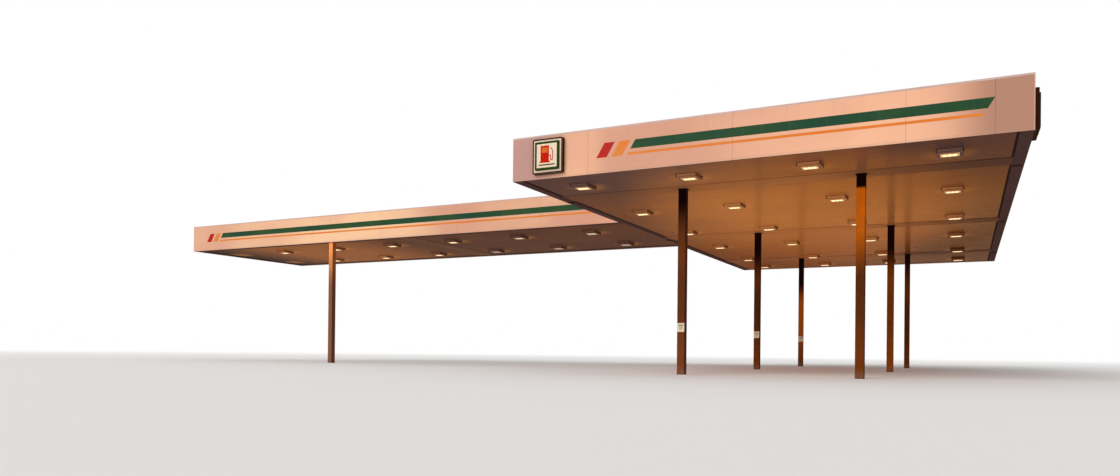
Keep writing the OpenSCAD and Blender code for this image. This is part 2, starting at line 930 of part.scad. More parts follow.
// Hollow lens that fills the rim frame
module light_lenses() {
    hole = lamp_w - 2 * lamp_rim;
    color(lens_white)
    for (p = lamp_spots) {
        translate([p[0], p[1], deck_z - lamp_h - lamp_frame_t])
        difference() {
            lens_block(hole, panel_t);
            translate([0, 0, panel_t]) lens_block(hole - 2 * panel_t, panel_t);
        }
    }
}

column_front_left();
column_front_right();
column_middle_left();
column_middle_right();
column_back_left();
column_back_right();
column_link();
notice_plates();
cross_beams();
purlins();
edge_tube_front();
edge_tube_back();
edge_tube_left();
edge_tube_right();
deck_pans();
deck_end_trims();
beam_strips();
gutter_left();
gutter_right();
gutter_brackets();
fascia_uprights();
fascia_front();
fascia_right();
fascia_back();
fascia_left_front();
fascia_left_back();
fascia_caps();
link_girders();
link_cross_purlins();
link_end_tube();
link_deck_pans();
link_edge_strips();
link_cross_strip();
link_gutter();
link_uprights();
link_fascia_front();
link_fascia_back();
link_fascia_end();
link_caps();
sign_cabinets();
sign_faces();
sign_frames();
light_housings();
light_frames();
light_lenses();
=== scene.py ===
"""Looks of the filling station canopy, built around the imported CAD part. Sizes are in metres."""

from functools import reduce
import json
import math

import bmesh
import bpy
from mathutils import Matrix, Vector


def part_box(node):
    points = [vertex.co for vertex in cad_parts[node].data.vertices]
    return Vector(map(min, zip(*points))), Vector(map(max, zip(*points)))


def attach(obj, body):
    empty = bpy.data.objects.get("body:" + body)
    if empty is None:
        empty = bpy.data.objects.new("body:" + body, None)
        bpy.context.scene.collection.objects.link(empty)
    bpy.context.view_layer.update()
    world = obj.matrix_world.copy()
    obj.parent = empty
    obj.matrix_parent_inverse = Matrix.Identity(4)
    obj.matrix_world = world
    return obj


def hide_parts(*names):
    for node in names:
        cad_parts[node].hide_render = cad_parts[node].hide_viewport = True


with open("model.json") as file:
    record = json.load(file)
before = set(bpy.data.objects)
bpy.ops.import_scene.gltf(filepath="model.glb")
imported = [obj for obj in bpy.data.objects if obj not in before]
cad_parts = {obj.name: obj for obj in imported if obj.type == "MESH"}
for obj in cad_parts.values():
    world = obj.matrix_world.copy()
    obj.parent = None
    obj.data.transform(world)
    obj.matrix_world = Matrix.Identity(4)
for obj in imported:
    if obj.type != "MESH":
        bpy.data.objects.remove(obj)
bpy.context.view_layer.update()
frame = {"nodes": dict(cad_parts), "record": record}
NODES = frame["nodes"]
BODY = "root"
# Height of the pans' undersides
PAN_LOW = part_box("deck_pans")[0].z
SCENE = bpy.context.scene
UP, DOWN = (0, 0, 1), (0, 0, -1)
# Directions from a rectangle's middle to its corners, turning left
CORNER_WAYS = ((1, 1), (-1, 1), (-1, -1), (1, -1))


def add_object(name, data):
    thing = bpy.data.objects.new(name, data)
    SCENE.collection.objects.link(thing)
    return thing


# Camera: the view of the photo, worked out from the canopy's edges and columns

# Image size in pixels, the row that the camera points at before its shift, and its focal length
IMAGE_W = 1120
IMAGE_H = 476
PRINCIPAL_ROW = 346.67
FOCAL_PIXELS = 796.8
SENSOR_W = 36.0
CAMERA_PLACE = (7.416, -22.447, 0.667)
CAMERA_YAW = math.radians(26.97)
CAMERA_PITCH = math.radians(0.272)
CAMERA_ROLL = math.radians(0.608)
CAMERA_REACH = 2000.0


def make_camera():
    """A nearly level camera close to the ground, turned left, with a small upward shift."""
    data = bpy.data.cameras.new("photo_camera")
    data.sensor_width = SENSOR_W
    data.lens = FOCAL_PIXELS / IMAGE_W * SENSOR_W
    data.shift_y = (PRINCIPAL_ROW - IMAGE_H / 2) / IMAGE_W
    data.clip_end = CAMERA_REACH
    camera = add_object("photo_camera", data)
    camera.matrix_world = Matrix.Translation(CAMERA_PLACE)
    turns = (CAMERA_YAW, "Z"), (math.pi / 2 + CAMERA_PITCH, "X"), (CAMERA_ROLL, "Z")
    for turn, axis in turns:
        camera.matrix_world = camera.matrix_world @ Matrix.Rotation(turn, 4, axis)
    SCENE.camera = camera


# Node tools

def operator(operation):
    return lambda *values: calculate(operation, *values)


class Value:
    """A node's output. Sums, products and the like of it are further nodes in its tree."""

    def __init__(self, socket):
        self.socket = socket

    def __rsub__(self, other):
        return calculate("SUBTRACT", other, self)

    __add__, __sub__ = operator("ADD"), operator("SUBTRACT")
    __mul__, __truediv__ = operator("MULTIPLY"), operator("DIVIDE")
    __mod__, __pow__ = operator("FLOORED_MODULO"), operator("POWER")
    __abs__ = operator("ABSOLUTE")


larger, smaller, cosine = operator("MAXIMUM"), operator("MINIMUM"), operator("COSINE")


def put(socket, value):
    """Sets an input to a plain number or colour, or links it to a Value."""
    if isinstance(value, Value):
        socket.id_data.links.new(value.socket, socket)
    elif socket.type == "RGBA":
        socket.default_value = (*value, 1.0)
    else:
        socket.default_value = value


def put_all(node, **values):
    """Puts a value into each named input, with _ in place of a space."""
    for name, value in values.items():
        put(node.inputs[name.replace("_", " ")], value)


def add_node(home, kind, **values):
    """New node in a tree, or in that of the first Value of a list."""
    if isinstance(home, list):
        home = next(value.socket.id_data for value in home if isinstance(value, Value))
    node = home.nodes.new("ShaderNode" + kind)
    put_all(node, **values)
    return node


def calculate(operation, *values):
    node = add_node(list(values), "Math")
    node.operation = operation
    for socket, value in zip(node.inputs, values):
        put(socket, value)
    return Value(node.outputs[0])


def between(share, a, b):
    """Number that goes from a to b as the share goes from 0 to 1."""
    return a + share * (b - a)


def ramp(value, low, high, out_low=0.0, out_high=1.0):
    """Takes low..high to out_low..out_high, smoothly and held at both ends."""
    node = add_node(
        [value], "MapRange", Value=value, From_Min=low, From_Max=high, To_Min=out_low,
        To_Max=out_high
    )
    node.interpolation_type = "SMOOTHSTEP"
    return Value(node.outputs["Result"])


def blend(share, a, b, way="MIX"):
    """Colour that goes from a to b as the share goes from 0 to 1."""
    node = add_node([share, a, b], "Mix", Factor=share)
    node.data_type = "RGBA"
    node.blend_type = way
    for socket, colour in zip([s for s in node.inputs if s.type == "RGBA"], (a, b)):
        put(socket, colour)
    return Value(next(s for s in node.outputs if s.type == "RGBA"))


# Range in which most values of a noise lie
NOISE_SPREAD = (0.3, 0.7)


class Finish:
    """A material in the making, around its Principled shader."""

    def __init__(self, name):
        self.material = bpy.data.materials.new(name)
        self.material.use_nodes = True
        self.tree = self.material.node_tree
        self.shader = self.tree.nodes["Principled BSDF"]

    def coords(self, stretch=(1, 1, 1)):
        """Places on the piece in metres, scaled along each axis."""
        source = Value(add_node(self.tree, "TexCoord").outputs["Object"])
        return Value(add_node(self.tree, "Mapping", Vector=source, Scale=stretch).outputs[0])

    def noise(self, scale, detail, stretch=(1, 1, 1), roughness=0.5):
        node = add_node(
            self.tree, "TexNoise", Vector=self.coords(stretch), Scale=scale, Detail=detail,
            Roughness=roughness
        )
        return Value(node.outputs["Fac"])

    def part(self, vector, axis):
        return Value(add_node(self.tree, "SeparateXYZ", Vector=vector).outputs[axis])

    def place(self, axis):
        """Place on the piece in metres along one axis."""
        return self.part(self.coords(), axis)

    def facing(self, axis):
        """How far the surface faces along one axis, from -1 to 1."""
        return self.part(Value(add_node(self.tree, "NewGeometry").outputs["Normal"]), axis)

    def rough(self, scale, detail, low, high):
        """Roughness that wanders between two numbers."""
        return ramp(self.noise(scale, detail), *NOISE_SPREAD, low, high)

    def bump(self, height, depth, strength):
        """Gives the surface waves or grain of that depth in metres."""
        node = add_node(self.tree, "Bump", Height=height, Distance=depth, Strength=strength)
        put_all(self.shader, Normal=Value(node.outputs[0]))

    def surface(self, colour, rough, shine=0.5, metal=0.0):
        """Sets the shader's main inputs, of which shine is the specular level."""
        put_all(
            self.shader, Base_Color=colour, Roughness=rough, Specular_IOR_Level=shine,
            Metallic=metal
        )
        return self.material


# Which roof a place is on, and where its lights are

MAIN_LEFT = -4.04
ROOF_EDGE = 0.1
# Main and link roof: first light and pitch along X, and rows along Y
LAMP_SPACING = ((-2.46, 3.1717), (-22.705, 3.345))
LAMP_ROWS = ((-1.66, 3.1, 8.16, 12.74, 17.97, 21.7), (6.57, 10.2))


def on_link(m):
    """1 on the link roof and 0 on the main one."""
    return ramp(m.place("X"), MAIN_LEFT, MAIN_LEFT - ROOF_EDGE)


def lamp_offsets(m, behind=0.0):
    """Distances along X and Y from the nearest light, or from a spot that far behind it."""
    x, y, link = m.place("X"), m.place("Y"), on_link(m)
    along = [abs((x - (first - pitch / 2)) % pitch - pitch / 2) for first, pitch in LAMP_SPACING]
    across = [reduce(smaller, [abs(y - (row + behind)) for row in rows]) for rows in LAMP_ROWS]
    return between(link, *along), between(link, *across)


# Fascia: the plane that its front stands before, and the stretches over which painted sunlight
# brightens it to the right and painted shade dulls it towards the left and right corners
FRONT_PLANE = -2.95
FRONT_EDGE_T = 0.01
SUNNY_PART = (0.8, 5.6)
LINK_SUNNY_LEFT = (-26.2, -22.5)
LINK_SUNNY_RIGHT = (-11.8, -14.0)
LEFT_SHADE_PART = (-2.5, -3.4)
RIGHT_SHADE_PART = (6.8, 8.0)
# Painted highlights on the front: place along it, half width and share
HIGHLIGHT_PATCHES = ((-1.95, 0.95, 0.5), (5.9, 1.2, 0.35))
# Paint, and its paler colour, where it has paled in patches and where painted sunlight and
# highlights fall, on the main and the link roof
PEACH = (0.67, 0.335, 0.225)
BLEACHED_AND_LIT_PEACH = ((0.9, 0.48, 0.3), (0.93, 0.57, 0.34))
# Colours of the painted shade towards the left and right corners
LEFT_SHADED_PEACH, RIGHT_SHADED_PEACH = (0.53, 0.285, 0.24), (0.46, 0.235, 0.16)
BLEACH_SHARE, SUNNY_SHARE = 0.45, 0.55
# Streaks under the cap and dust above the lower edge: heights, colour and share
STREAKS = (5.9, 6.64), (0.4, 0.24, 0.17), 0.12
FOOT_DUST = (5.52, 5.42), (0.42, 0.27, 0.21), 0.5
# Painted shade on the panels' folded undersides
UNDERSIDE_SHADE = (0.07, 0.035, 0.025)
# Waves of the panels: depth and strength
PANEL_WAVES = (0.02, 0.3)


def fascia_paint():
    """Warm white baked paint on composite panels, with faint streaks under the cap,
    painted sunlight and highlights, and painted shade towards the front's corners and on the
    undersides.
    """
    m = Finish("fascia_paint")
    x, z = m.place("X"), m.place("Z")
    on_front = ramp(m.place("Y"), FRONT_PLANE + FRONT_EDGE_T, FRONT_PLANE)
    bleached_and_lit = ramp(m.noise(0.22, 2, (1, 1, 2.0)), 0.35, 0.65) * BLEACH_SHARE
    # Painted sunlight along the link roof and the front, and painted highlights on the front
    link_sunny = ramp(x, *LINK_SUNNY_LEFT) * ramp(x, *LINK_SUNNY_RIGHT)
    sunny = larger(on_front * ramp(x, *SUNNY_PART), link_sunny) * SUNNY_SHARE
    for middle, half, share in HIGHLIGHT_PATCHES:
        sunny += on_front * ramp(abs(x - middle), half, 0.3 * half, 0.0, share)
    tone = blend(bleached_and_lit + sunny, PEACH, blend(on_link(m), *BLEACHED_AND_LIT_PEACH))
    # Painted shade towards the front's left and right corners
    tone = blend(on_front * ramp(x, *LEFT_SHADE_PART), tone, LEFT_SHADED_PEACH)
    tone = blend(on_front * ramp(x, *RIGHT_SHADE_PART), tone, RIGHT_SHADED_PEACH)
    patterns = ramp(m.noise(1.0, 4, (5, 5, 0.25)), 0.52, 0.72), m.noise(2.0, 4)
    for pattern, (heights, colour, share) in zip(patterns, (STREAKS, FOOT_DUST)):
        tone = blend(pattern * ramp(z, *heights) * share, tone, colour)
    # Painted shade on the faces that look down
    under = ramp(m.facing("Z"), -0.5, -0.8)
    m.bump(m.noise(0.9, 1), *PANEL_WAVES)
    rough = larger(m.rough(3, 3, 0.26, 0.4), under)
    return m.surface(blend(under, tone, UNDERSIDE_SHADE), rough, 0.08)


CAP_TONES = ((0.5, 0.33, 0.285), (0.62, 0.42, 0.36))
CAP_DUST = (0.34, 0.23, 0.18)


def cap_paint():
    """The caps' baked paint, darker with dust and runs."""
    m = Finish("cap_paint")
    dust = ramp(m.noise(3.0, 6, roughness=0.7), 0.5, 0.75, 0.0, 0.5)
    m.bump(m.noise(40, 3), 0.0006, 0.3)
    tone = blend(m.noise(0.8, 4), *CAP_TONES)
    return m.surface(blend(dust, tone, CAP_DUST), m.rough(5, 3, 0.35, 0.55))


# Soffit: painted light, warm brown in the middle, and painted shade, darker along the edges and
# at the back on the right. Its middle along X and Y, how far from there it turns to its edge
# tone, how the middle moves aside towards the back, and where the back, the front and the right
# part set in
TONE_MIDDLE = (2.2, 8.5)
TONE_REACH = (6.3, 14.5)
TONE_SKEW = 0.012
BACK_PART = (5.0, 17.0)
FRONT_PART = (3.0, -2.4)
RIGHT_PART = (2.0, 6.0)
MID_BROWN = (0.56, 0.215, 0.062)
BACK_BROWN = (0.44, 0.145, 0.034)
EDGE_BROWN = (0.2, 0.085, 0.045)
BACK_EDGE = (0.25, 0.082, 0.029)
BACK_RIGHT_EDGE = (0.1, 0.03, 0.008)
FRONT_EDGE = (0.12, 0.07, 0.064)
# Link roof: where its stretch of painted light begins and ends, and where the painted shadow at
# its far end does
LINK_LIT_PART = ((-14.5, -19.5), (-25.5, -22.5))
LINK_SHADOW_PART = (-24.9, -26.2)
LINK_TONES = ((0.085, 0.04, 0.034), (0.15, 0.066, 0.04))
LINK_LIT_BROWN = (0.4, 0.15, 0.05)
LINK_SHADOW_BROWN = (0.03, 0.014, 0.008)
# Painted light, a warm glow behind each light: how far behind it lies and how far it reaches,
# its colour and its share
GLOW_BEHIND = 0.3
GLOW_REACH = (0.75, 0.1)
GLOW_BROWN = (0.85, 0.36, 0.1)
GLOW_SHARE = 0.35
# Strips: where painted shade darkens them to the right and how far, and the shade's tone
STRIP_DARKENS = (3.0, 7.0, 0.12, 0.5)
STRIP_SHADE = (0.03, 0.018, 0.018)
TRIM_TONES = ((0.06, 0.033, 0.033), (0.085, 0.048, 0.045))


def edge_share(m):
    """0 in the middle of the main roof, up to 1 along its edges."""
    across = m.place("Y") - TONE_MIDDLE[1]
    along = (m.place("X") - TONE_MIDDLE[0]) / TONE_REACH[0] + across * TONE_SKEW
    squares = along ** 2.0 + (across / TONE_REACH[1]) ** 2.0
    return ramp(squares + m.noise(0.25, 2) * 0.5, 0.25, 1.25)


def towards_back(m):
    return ramp(m.place("Y"), *BACK_PART)


def main_tone(m):
    """Painted light and shade: warm brown in the middle, darker at the edges, and more neutral at
    the front.
    """
    back = towards_back(m)
    back_edge = blend(ramp(m.place("X"), *RIGHT_PART), BACK_EDGE, BACK_RIGHT_EDGE)
    edge = blend(back, EDGE_BROWN, back_edge)
    edge = blend(ramp(m.place("Y"), *FRONT_PART), edge, FRONT_EDGE)
    return blend(edge_share(m), blend(back, MID_BROWN, BACK_BROWN), edge)


def link_tone(m):
    """Dark brown, warmer and paler with painted light on a stretch near the far end, and darker
    with painted shadow at the far end.
    """
    x = m.place("X")
    right, left = LINK_LIT_PART
    # Painted light on a stretch near the far end
    bleached_and_lit = ramp(x, *right) * ramp(x, *left)
    tone = blend(bleached_and_lit * 0.75, blend(m.noise(0.3, 2), *LINK_TONES), LINK_LIT_BROWN)
    # Painted shadow at the far end
    return blend(ramp(x, *LINK_SHADOW_PART, 0.0, 0.8), tone, LINK_SHADOW_BROWN)


def bare_tone(m):
    """The soffit's colour on either roof."""
    return blend(on_link(m), main_tone(m), link_tone(m))


def roof_tone(m):
    """The soffit's colour with painted light, a warm glow behind each light."""
    along, across = lamp_offsets(m, GLOW_BEHIND)
    glow = ramp((along ** 2.0 + across ** 2.0) ** 0.5, *GLOW_REACH)
    return blend(glow * GLOW_SHARE, bare_tone(m), GLOW_BROWN)


def strip_tone(m):
    """The soffit's colour on a narrow strip, with painted shade darker towards the right."""
    return blend(ramp(m.place("X"), *STRIP_DARKENS), bare_tone(m), STRIP_SHADE)


def trim_tone(m):
    return blend(m.noise(0.6, 3), *TRIM_TONES)


# Tinted gloss of the soffit: its colour, where it grows to the right and from what share to
# what, and its shares along the edges and at the back
GLOSS_TINT = (0.82, 0.43, 0.19)
GLOSS_GROWS = (-0.5, 4.5, 0.12, 0.48)
EDGE_GLOSS = 0.9
BACK_GLOSS = 0.75
# Grime below, and the zinc on top with its stains
GRIME_BROWN = (0.1, 0.06, 0.045)
ZINC_TONES = ((0.3, 0.3, 0.29), (0.42, 0.42, 0.41))
ZINC_STAIN = (0.2, 0.16, 0.12)
# Heights above the pans' undersides between which paint gives way to zinc
PAINT_ENDS = (0.002, 0.004)


def main_gloss(m):
    """Share of tinted gloss: more on the right, a little less along the edges and at the back."""
    gloss = ramp(m.place("X"), *GLOSS_GROWS) * ramp(edge_share(m), 0.0, 1.0, 1.0, EDGE_GLOSS)
    return gloss * ramp(towards_back(m), 0.0, 1.0, 1.0, BACK_GLOSS)


def sheet_paint(name, under, gloss, roughness):
    """Gloss paint below and dusty zinc on top of rolled sheet, a little wavy.

    under(m) gives the underside's colour. gloss is its share of tinted gloss, or gloss(m) is.
    """
    m = Finish(name)
    grime = ramp(m.noise(1.2, 5, (0.5, 2.5, 1)), 0.55, 0.8, 0.0, 0.18)
    stain = ramp(m.noise(0.8, 7, roughness=0.65), 0.5, 0.68) * 0.7
    zinc = blend(stain, blend(m.noise(1.5, 5), *ZINC_TONES), ZINC_STAIN)
    above = ramp(m.place("Z"), *[PAN_LOW + rise for rise in PAINT_ENDS])
    on_top = larger(ramp(m.facing("Z"), 0.2, 0.6), above)
    colour = blend(on_top, blend(grime, under(m), GRIME_BROWN), zinc)
    rough = m.rough(2, 3, *roughness) + on_top * 0.3
    put_all(m.shader, Specular_Tint=GLOSS_TINT)
    m.bump(m.noise(1.0, 1, (0.35, 1.6, 1)), 0.01, 0.08)
    return m.surface(colour, rough, 0.0, gloss(m) if callable(gloss) else gloss)


# Columns: colour of the painted sunlight on the main and the link roof's, then for each column
# the heights between which the painted shade at the top thins out, the heights between which the
# painted sunlight sets in and its share, and the share of chalky paint all over
MAIN_SUNLIT = (0.95, 0.205, 0.007)
LINK_SUNLIT = (0.869, 0.2905, 0.0817)
COLUMN_LOOKS = {
    "column_front_left": ((5.1, 4.15), (2.4, 5.1), 0.0, 0.15),
    "column_front_right": ((5.1, 5.02), (2.6, 5.2), 1.0, 0.0),
    "column_middle_left": ((4.7, 3.5), (2.4, 5.1), 0.0, 0.0),
    "column_middle_right": ((4.7, 3.3), (-1.0, 0.0), 0.14, 0.0),
    "column_back_left": ((4.2, 3.0), (0.0, 2.4), 0.45, 0.0),
    "column_back_right": ((5.3, 3.7), (2.4, 5.1), 0.0, 0.0),
    "column_link": ((5.6, 5.45), (3.3, 5.2), 1.0, 0.9, LINK_SUNLIT),
}
COLUMN_TONES = ((0.115, 0.027, 0.005), (0.165, 0.039, 0.006))
CHALK = (0.26, 0.105, 0.055)
COLUMN_SHADE = (0.03, 0.012, 0.008)
# Colour of the painted shade at the columns' tops
TOP_SHADE = (0.01, 0.003, 0.003)
# Painted shade at mid height: where it sets in and ends, and its colour
COLUMN_MID_SHADE = (0.5, 1.9), (3.5, 2.7), (0.035, 0.015, 0.008)
# Scuffs and splashes: heights and colour
SCUFFS = (1.2, 0.1), (0.24, 0.14, 0.09)
SPLASHES = (0.3, 0.0), (0.18, 0.1, 0.07)


def column_paint(name, top_shade_range, sunlit_range, bleached_and_lit, chalky, pale=MAIN_SUNLIT):
    """Brown satin paint with orange peel, chalky scuffs and a dirty foot, with painted shade at the
    top, at mid height and on the faces towards +X, and painted sunlight from a given height up.
    """
    m = Finish(name + "_paint")
    z = m.place("Z")
    tone = blend(chalky, blend(m.noise(1.5, 4), *COLUMN_TONES), CHALK)
    # Painted shade at mid height
    low, high, colour = COLUMN_MID_SHADE
    tone = blend(ramp(z, *low) * ramp(z, *high) * (0.45 * (1 - chalky)), tone, colour)
    # Painted sunlight, in patches, from a given height up
    patchy = ramp(m.noise(0.7, 2), 0.2, 0.7, 0.7 * bleached_and_lit, bleached_and_lit)
    faded_and_sunlit = ramp(z, *sunlit_range) * patchy
    tone = blend(faded_and_sunlit, tone, pale)
    patterns = ramp(m.noise(14, 6, (1, 1, 0.35)), 0.6, 0.78, 0.0, 0.35), m.noise(9, 4)
    for pattern, (heights, colour) in zip(patterns, (SCUFFS, SPLASHES)):
        tone = blend(pattern * ramp(z, *heights), tone, colour)
    # Painted shade at the top, just under the roof
    top_shade = ramp(z, *top_shade_range[::-1]) * ramp(z, PAN_LOW + 0.01, PAN_LOW)
    tone = blend(top_shade, tone, TOP_SHADE)
    tone = blend(ramp(m.facing("X"), 0.4, 0.9, 0.0, 0.55), tone, COLUMN_SHADE)
    m.bump(m.noise(220, 2), 0.0006, 0.4)
    # A metallic share on the painted sunlight brightens it, less under the painted shade at the top
    return m.surface(tone, m.rough(6, 3, 0.38, 0.55), 0.0, faded_and_sunlit * (1.0 - top_shade) * 0.5)


STEEL_TONES = ((0.2, 0.2, 0.19), (0.3, 0.29, 0.28))
RUST = (0.2, 0.075, 0.03)


def steel_primer():
    """Grey primer on rolled steel, with rust where it has rubbed."""
    m = Finish("steel_primer")
    rust = ramp(m.noise(3.5, 8, roughness=0.65), 0.6, 0.7)
    m.bump(m.noise(60, 4), 0.001, 0.4)
    tone = blend(m.noise(2.5, 4), *STEEL_TONES)
    return m.surface(blend(rust, tone, RUST), m.rough(5, 3, 0.55, 0.8))


def plain_paint(name, dark, light, roughness, shine=0.0, grain=0.0004):
    """Even paint with slight changes of tone and gloss."""
    m = Finish(name)
    m.bump(m.noise(120, 2), grain, 0.3)
    return m.surface(blend(m.noise(4, 4), dark, light), m.rough(9, 3, *roughness), shine)


FILM_DUST = (0.42, 0.31, 0.25)


def film(name, faded_and_sunlit, fresh):
    """Coloured film on the panels, worn pale and dusty in places."""
    m = Finish(name)
    tone = blend(ramp(m.noise(0.5, 4), 0.35, 0.65), faded_and_sunlit, fresh)
    dust = ramp(m.noise(3, 5, (4, 4, 0.6)), 0.55, 0.85) * 0.1
    m.bump(m.noise(0.9, 1), *PANEL_WAVES)
    return m.surface(blend(dust, tone, FILM_DUST), m.rough(4, 3, 0.25, 0.38), 0.04)


# Lights: half width, and the dark strip up each corner of a box with its soft edge
LIGHT_HALF = 0.29
LIGHT_CORNER = 0.026
LIGHT_CORNER_EDGE = 0.004
# Painted light on a box's upright faces, which lie in the roof's shade: how much lighter than the
# soffit a box is in front and at its sides, the lightest front, and the corners' tone
BOX_GAINS = ((2.2, 2.3, 2.2), (3.6, 3.6, 3.6))
BOX_FRONT = (0.8, 0.37, 0.15)
BOX_CORNER = (0.022, 0.009, 0.007)
# Half sizes of the bright middle of a lens, how softly it ends, the distance between the lamps
# behind it, and its strength
CORE_X = 0.165
CORE_Y = 0.1
CORE_EDGE = 0.045
LAMP_GAP = 0.115
CORE_STRENGTH = 1.6
# Light of a lens from its border to its lamps, an aged one's, and the lens's own colour
LENS_GLOWS = ((0.2, 0.075, 0.02), (1.0, 0.8, 0.4))
AGED_GLOW = (0.13, 0.08, 0.06)
LENS_TONE = (0.2, 0.11, 0.06)
# Aged lights of the link roof: where its back row begins, and the stretches where each row dims
BACK_ROW = (8.0, 8.8)
BACK_DIMS = (-14.8, -13.8)
FRONT_DIMS = (-11.5, -10.5, 0.0, 0.7)


def light_tone(m):
    """The soffit's brown below, with painted light on the upright faces, dark up the corners."""
    tone = bare_tone(m)
    # Painted light: the upright faces lighter than the soffit
    gain = blend(ramp(abs(m.facing("X")), 0.4, 0.9), *BOX_GAINS)
    front = blend(1.0, blend(1.0, tone, gain, "MULTIPLY"), BOX_FRONT, "DARKEN")
    upright = ramp(m.facing("Z"), -0.8, -0.4)
    along, _ = lamp_offsets(m)
    strip = LIGHT_HALF - LIGHT_CORNER
    corner = ramp(along, strip - LIGHT_CORNER_EDGE, strip)
    return blend(corner * upright * 0.75, blend(upright, tone, front), BOX_CORNER)


def aged_share(m):
    """How far a light has aged: most in the link roof's back row, towards the main roof."""
    x = m.place("X")
    back = ramp(m.place("Y"), *BACK_ROW) * ramp(x, *BACK_DIMS)
    return on_link(m) * larger(ramp(x, *FRONT_DIMS), back)


def lit_lens():
    """Prismatic lens, warm at its border, with three bright lamps behind its middle."""
    m = Finish("lit_lens")
    along, across = lamp_offsets(m)
    bright = ramp(along, CORE_X + CORE_EDGE, CORE_X - CORE_EDGE)
    bright *= ramp(across, CORE_Y + CORE_EDGE, CORE_Y - CORE_EDGE)
    wave = cosine(along * (2 * math.pi / LAMP_GAP))
    bright *= ramp(wave, -1.0, 0.6, 0.62, 1.0) * ramp(m.noise(34, 1), 0.35, 0.6, 0.85, 1.0)
    glow = blend(aged_share(m), blend(bright, *LENS_GLOWS), AGED_GLOW)
    put_all(m.shader, Emission_Color=glow, Emission_Strength=CORE_STRENGTH)
    m.bump(m.noise(150, 1), 0.001, 0.5)
    return m.surface(LENS_TONE, m.rough(80, 2, 0.15, 0.3), 0.03)


# Stage and lights

FLOOR_SIZE = 1600.0
FLOOR_TONES = ((0.85, 0.835, 0.82), (0.88, 0.865, 0.85))
FLOOR_ROUGH = 0.9
# Distances from the object over which the floor fades to white for the camera
FADE = (30.0, 110.0)
WHITE = (1.0, 1.0, 1.0)
WORLD_STRENGTH = 0.58
# Sun, large and soft: strength, angle across it, and the way its light goes
SUN_STRENGTH = 1.55
SUN_ANGLE = math.radians(35)
SUN_AIM = (0.38, 0.85, -0.55)
# Soft light from the ground up to each roof: its middle, width and length, height and radiance
FILLS = {"fill_main": ((2.3, 10.25), 12.4, 26.1), "fill_link": ((-15.5, 8.35), 22.6, 6.9)}
FILL_HEIGHT = 0.03
FILL_LEVEL = 0.45


def background_rays(tree):
    """1 for the rays that show the background: camera, glossy and transmission."""
    path = add_node(tree, "LightPath").outputs
    names = ("Is Camera Ray", "Is Glossy Ray", "Is Transmission Ray")
    return reduce(larger, [Value(path[name]) for name in names])


def mix_shaders(tree, share, near, far, output):
    """Sends a mix of two shader nodes to the tree's output."""
    mix = add_node(tree, "MixShader")
    for socket, value in zip(mix.inputs, (share, Value(near.outputs[0]), Value(far.outputs[0]))):
        put(socket, value)
    put_all(tree.nodes[output], Surface=Value(mix.outputs[0]))


def make_stage():
    """A pale floor that fades to the white surround far away."""
    half = FLOOR_SIZE / 2
    mesh = bpy.data.meshes.new("floor")
    mesh.from_pydata([(half * a, half * b, 0) for a, b in CORNER_WAYS], [], [(0, 1, 2, 3)])
    floor = add_object("floor", mesh)
    m = Finish("floor")
    mesh.materials.append(m.surface(blend(m.noise(0.05, 2), *FLOOR_TONES), FLOOR_ROUGH))
    away = add_node(m.tree, "VectorMath")
    away.operation = "LENGTH"
    put(away.inputs[0], m.coords())
    share = ramp(Value(away.outputs["Value"]), *FADE) * background_rays(m.tree)
    mix_shaders(m.tree, share, m.shader, add_node(m.tree, "Emission"), "Material Output")


def make_world():
    world = bpy.data.worlds.new("studio")
    world.use_nodes = True
    SCENE.world = world
    tree = world.node_tree
    light = tree.nodes["Background"]
    put_all(light, Color=WHITE, Strength=WORLD_STRENGTH)
    white = add_node(tree, "Background", Color=WHITE, Strength=1.0)
    mix_shaders(tree, background_rays(tree), light, white, "World Output")


def make_sun():
    data = bpy.data.lights.new("key", "SUN")
    data.energy = SUN_STRENGTH
    data.angle = SUN_ANGLE
    add_object("key", data).rotation_euler = Vector(SUN_AIM).to_track_quat("-Z", "Y").to_euler()


def make_fill(name, centre, width, length):
    """Soft light from the ground up to a roof, seen by no camera or gloss."""
    data = bpy.data.lights.new(name, "AREA")
    data.shape = "RECTANGLE"
    data.size, data.size_y = width, length
    data.energy = FILL_LEVEL * math.pi * width * length
    lamp = add_object(name, data)
    lamp.location = (*centre, FILL_HEIGHT)
    lamp.rotation_euler = (math.pi, 0, 0)
    lamp.visible_camera = lamp.visible_glossy = lamp.visible_transmission = False


# Tools for small pieces

# Sides and rings of a bolt's washer and hexagon head and of a low round screw head: radius and
# height as shares of the bolt's thread size or the screw's radius
WASHER = 12, ((1.0, 0.0), (1.0, 0.15))
BOLT_HEAD = 6, ((0.86, 0.1), (0.86, 0.7), (0.74, 0.8))
SCREW_HEAD = 10, ((1.0, 0.0), (1.0, 0.25), (0.7, 0.6))


def middle(low, high):
    """Middle of a box on the plan."""
    return (low.x + high.x) / 2, (low.y + high.y) / 2


def long_axis(low, high):
    """0 for a box that is longest along X, 1 for one along Y."""
    return int(high.x - low.x <= high.y - low.y)


def add_loops(bm, loops, ring=False):
    """Form through loops of equally many points, with flat ends or closed into a ring."""
    rows = [[bm.verts.new(point) for point in loop] for loop in loops]
    for a, b in zip(rows[-1:] + rows, rows) if ring else zip(rows, rows[1:]):
        for i in range(len(a)):
            bm.faces.new((a[i - 1], a[i], b[i], b[i - 1]))
    if not ring:
        bm.faces.new(rows[0][::-1])
        bm.faces.new(rows[-1])


def add_box(bm, low, high):
    add_loops(bm, [
        [(low[0], low[1], z), (high[0], low[1], z), (high[0], high[1], z), (low[0], high[1], z)]
        for z in (low[2], high[2])
    ])


def add_prism(bm, outline, offset):
    """Flat outline of 3D points, thickened by an offset."""
    add_loops(bm, [[Vector(point) + Vector(offset) for point in outline], outline])


